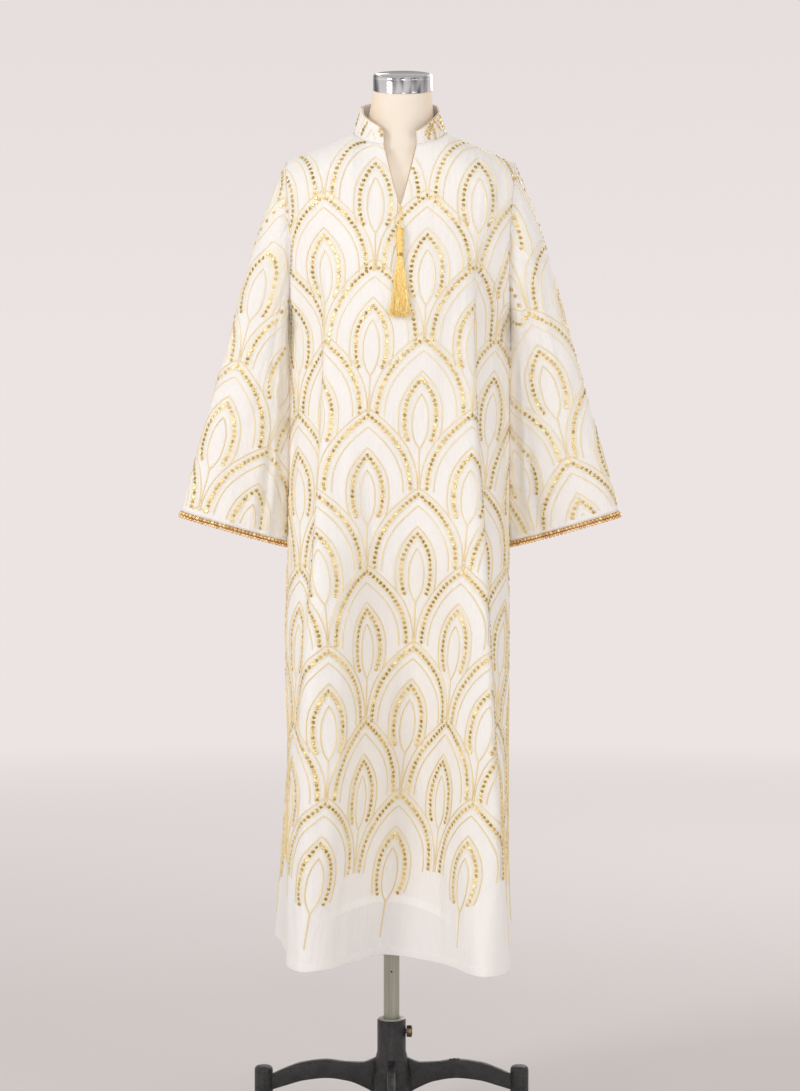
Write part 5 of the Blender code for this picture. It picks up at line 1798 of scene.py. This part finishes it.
def makeStand():
    centre = Matrix.Translation((form["poleX"] * mm, 0, 0))
    foot = Matrix.Translation((stand["bossReach"] * mm, 0, 0))
    radius, top, low = stand["poleRadius"], stand["poleTop"], stand["poleBottom"]
    upper = [(0, top), (radius - 0.6, top), (radius, top - 0.6)]
    pole = lathe([*upper, (radius, low + 0.8), (radius - 0.8, low), (0, low)], 64)
    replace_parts(addPiece("poleSteel", moved(pole, centre), steelGrey), "pole")
    # a flat dark disc on the pole's front: painted shade standing in for a small drilled hole
    mark = bmesh.new()
    bmesh.ops.create_circle(mark, cap_ends=True, segments=16, radius=stand["holeShadeRadius"])
    turn = Matrix.Translation((0, -(radius + 0.05) * mm, stand["holeShadeHeight"] * mm)) @ turned(90, "X")
    addPiece("poleHoleShade", moved(mark, centre @ turn), ironBlack)
    works = [lathe(stand["hub"], 72)]
    for quarter in range(4):
        turn = turned(90 * quarter, "Z")
        works += [moved(makeArm(), turn), moved(lathe(stand["boss"], 40), turn @ foot)]
    for x, z in stand["bumps"]:
        bump = bmesh.new()
        bmesh.ops.create_uvsphere(bump, u_segments=16, v_segments=10, radius=1.0)
        bmesh.ops.scale(bump, vec=stand["bumpSize"], verts=bump.verts)
        works.append(moved(bump, Matrix.Translation((x * mm, 0, z * mm))))
    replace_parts(addPiece("standCasting", moved(joined(works), centre), ironBlack, "stand"), "stand_base")
    bushing = lathe(stand["bushing"], 64)
    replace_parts(addPiece("bushingRing", moved(bushing, centre), steelGrey, "bushing"), "pole_bushing")
    flutes = stand["flutes"]
    head = lathe(stand["screw"], flutes * 2)
    for vert in head.verts:
        reach = math.hypot(vert.co.x, vert.co.y)
        if reach > 9.3 * mm and 26.4 * mm < vert.co.z < 34.0 * mm:
            angle = math.atan2(vert.co.y, vert.co.x)
            cut = 1 - stand["fluteDepth"] * (round(angle / math.pi * flutes) % 2)
            vert.co.x *= cut
            vert.co.y *= cut
    screwTurn = centre @ Matrix.Translation((0, 0, stand["screwHeight"])) @ turned(90, "Y")
    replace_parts(addPiece("clampKnob", moved(head, screwTurn), brassWorn, "clamp_screw"), "clamp_screw")
    for quarter, node in enumerate(("foot_right", "foot_back", "foot_left", "foot_front")):
        pad = lathe(stand["pad"], 48)
        place = centre @ turned(90 * quarter, "Z") @ foot
        name = node.split("_")[1] + "FootPad"
        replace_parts(addPiece(name, moved(pad, place), rubberBlack, "stand"), node)


# ---- the whole scene

cottonWhite, cottonSeam = whiteCotton(), seamCotton()
threadGold, threadYellow, sequinGold = paleGoldThread(), yellowThread(), goldSequin()
edgeGold, beadCopper, beadGapShade = browngoldCord(), copperBead(), brownGround()
silkYellow, bandGilt = yellowSilk(), giltBand()
jerseyCream, chromeBright = creamJersey(), polishedChrome()
steelGrey, ironBlack = greySteel(), blackIron()
brassWorn, rubberBlack = brassPlate(), blackRubber()
makeStudio()
print("studio ready")

frontPanel, backPanel = Panel(True), Panel(False)
frontPiece = makeBodyPanel("frontCloth", frontPanel)
backPiece = makeBodyPanel("backCloth", backPanel)
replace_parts(frontPiece, "front_panel")
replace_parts(backPiece, "back_panel")
print("body panels ready")

# an arch's apex on each sleeve, and how far the sleeves' pattern leans
leftKey, rightKey, sleeveLean = (-0.2736, 1.3257), (0.2163, 1.4116), math.radians(15.5)
leftSleeve = Sleeve(-1, leftKey, sleeveLean, (frontPanel, backPanel))
rightSleeve = Sleeve(1, rightKey, sleeveLean, (frontPanel, backPanel))
leftPiece = makeSleeve("leftSleeveCloth", leftSleeve)
rightPiece = makeSleeve("rightSleeveCloth", rightSleeve)
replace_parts(leftPiece, "sleeve_left")
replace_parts(rightPiece, "sleeve_right")
print("sleeves ready")

frontWork = embroider("frontArch", frontPanel, bodyApexes(0), frontLean)
backWork = embroider("backArch", backPanel, bodyApexes(1))
leftWork = embroider("leftSleeveArch", leftSleeve, sleeveApexes())
rightWork = embroider("rightSleeveArch", rightSleeve, sleeveApexes())

collarPiece, collarWork = makeCollar(Collar())
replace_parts(collarPiece, "collar")
leftCuff = makeCuff("leftCuffBeads", leftSleeve, "cuff_trim_left")
rightCuff = makeCuff("rightCuffBeads", rightSleeve, "cuff_trim_right")
makeSeams()
makeSlitEdge()
stitches = makeHemStitches()
print("collar, cuffs and edges ready")
makeTassel()
makeForm()
makeStand()
print("form and stand ready")

for piece, flat, area, work in (
    (frontPiece, (0.78, 1.40), 0.83, frontWork + [stitches]),
    (backPiece, (0.78, 1.41), 0.81, backWork),
    (leftPiece, (0.52, 0.64), 0.20, leftWork + [leftCuff]),
    (rightPiece, (0.52, 0.64), 0.20, rightWork + [rightCuff]),
    (collarPiece, (0.41, 0.047), 0.018, collarWork),
):
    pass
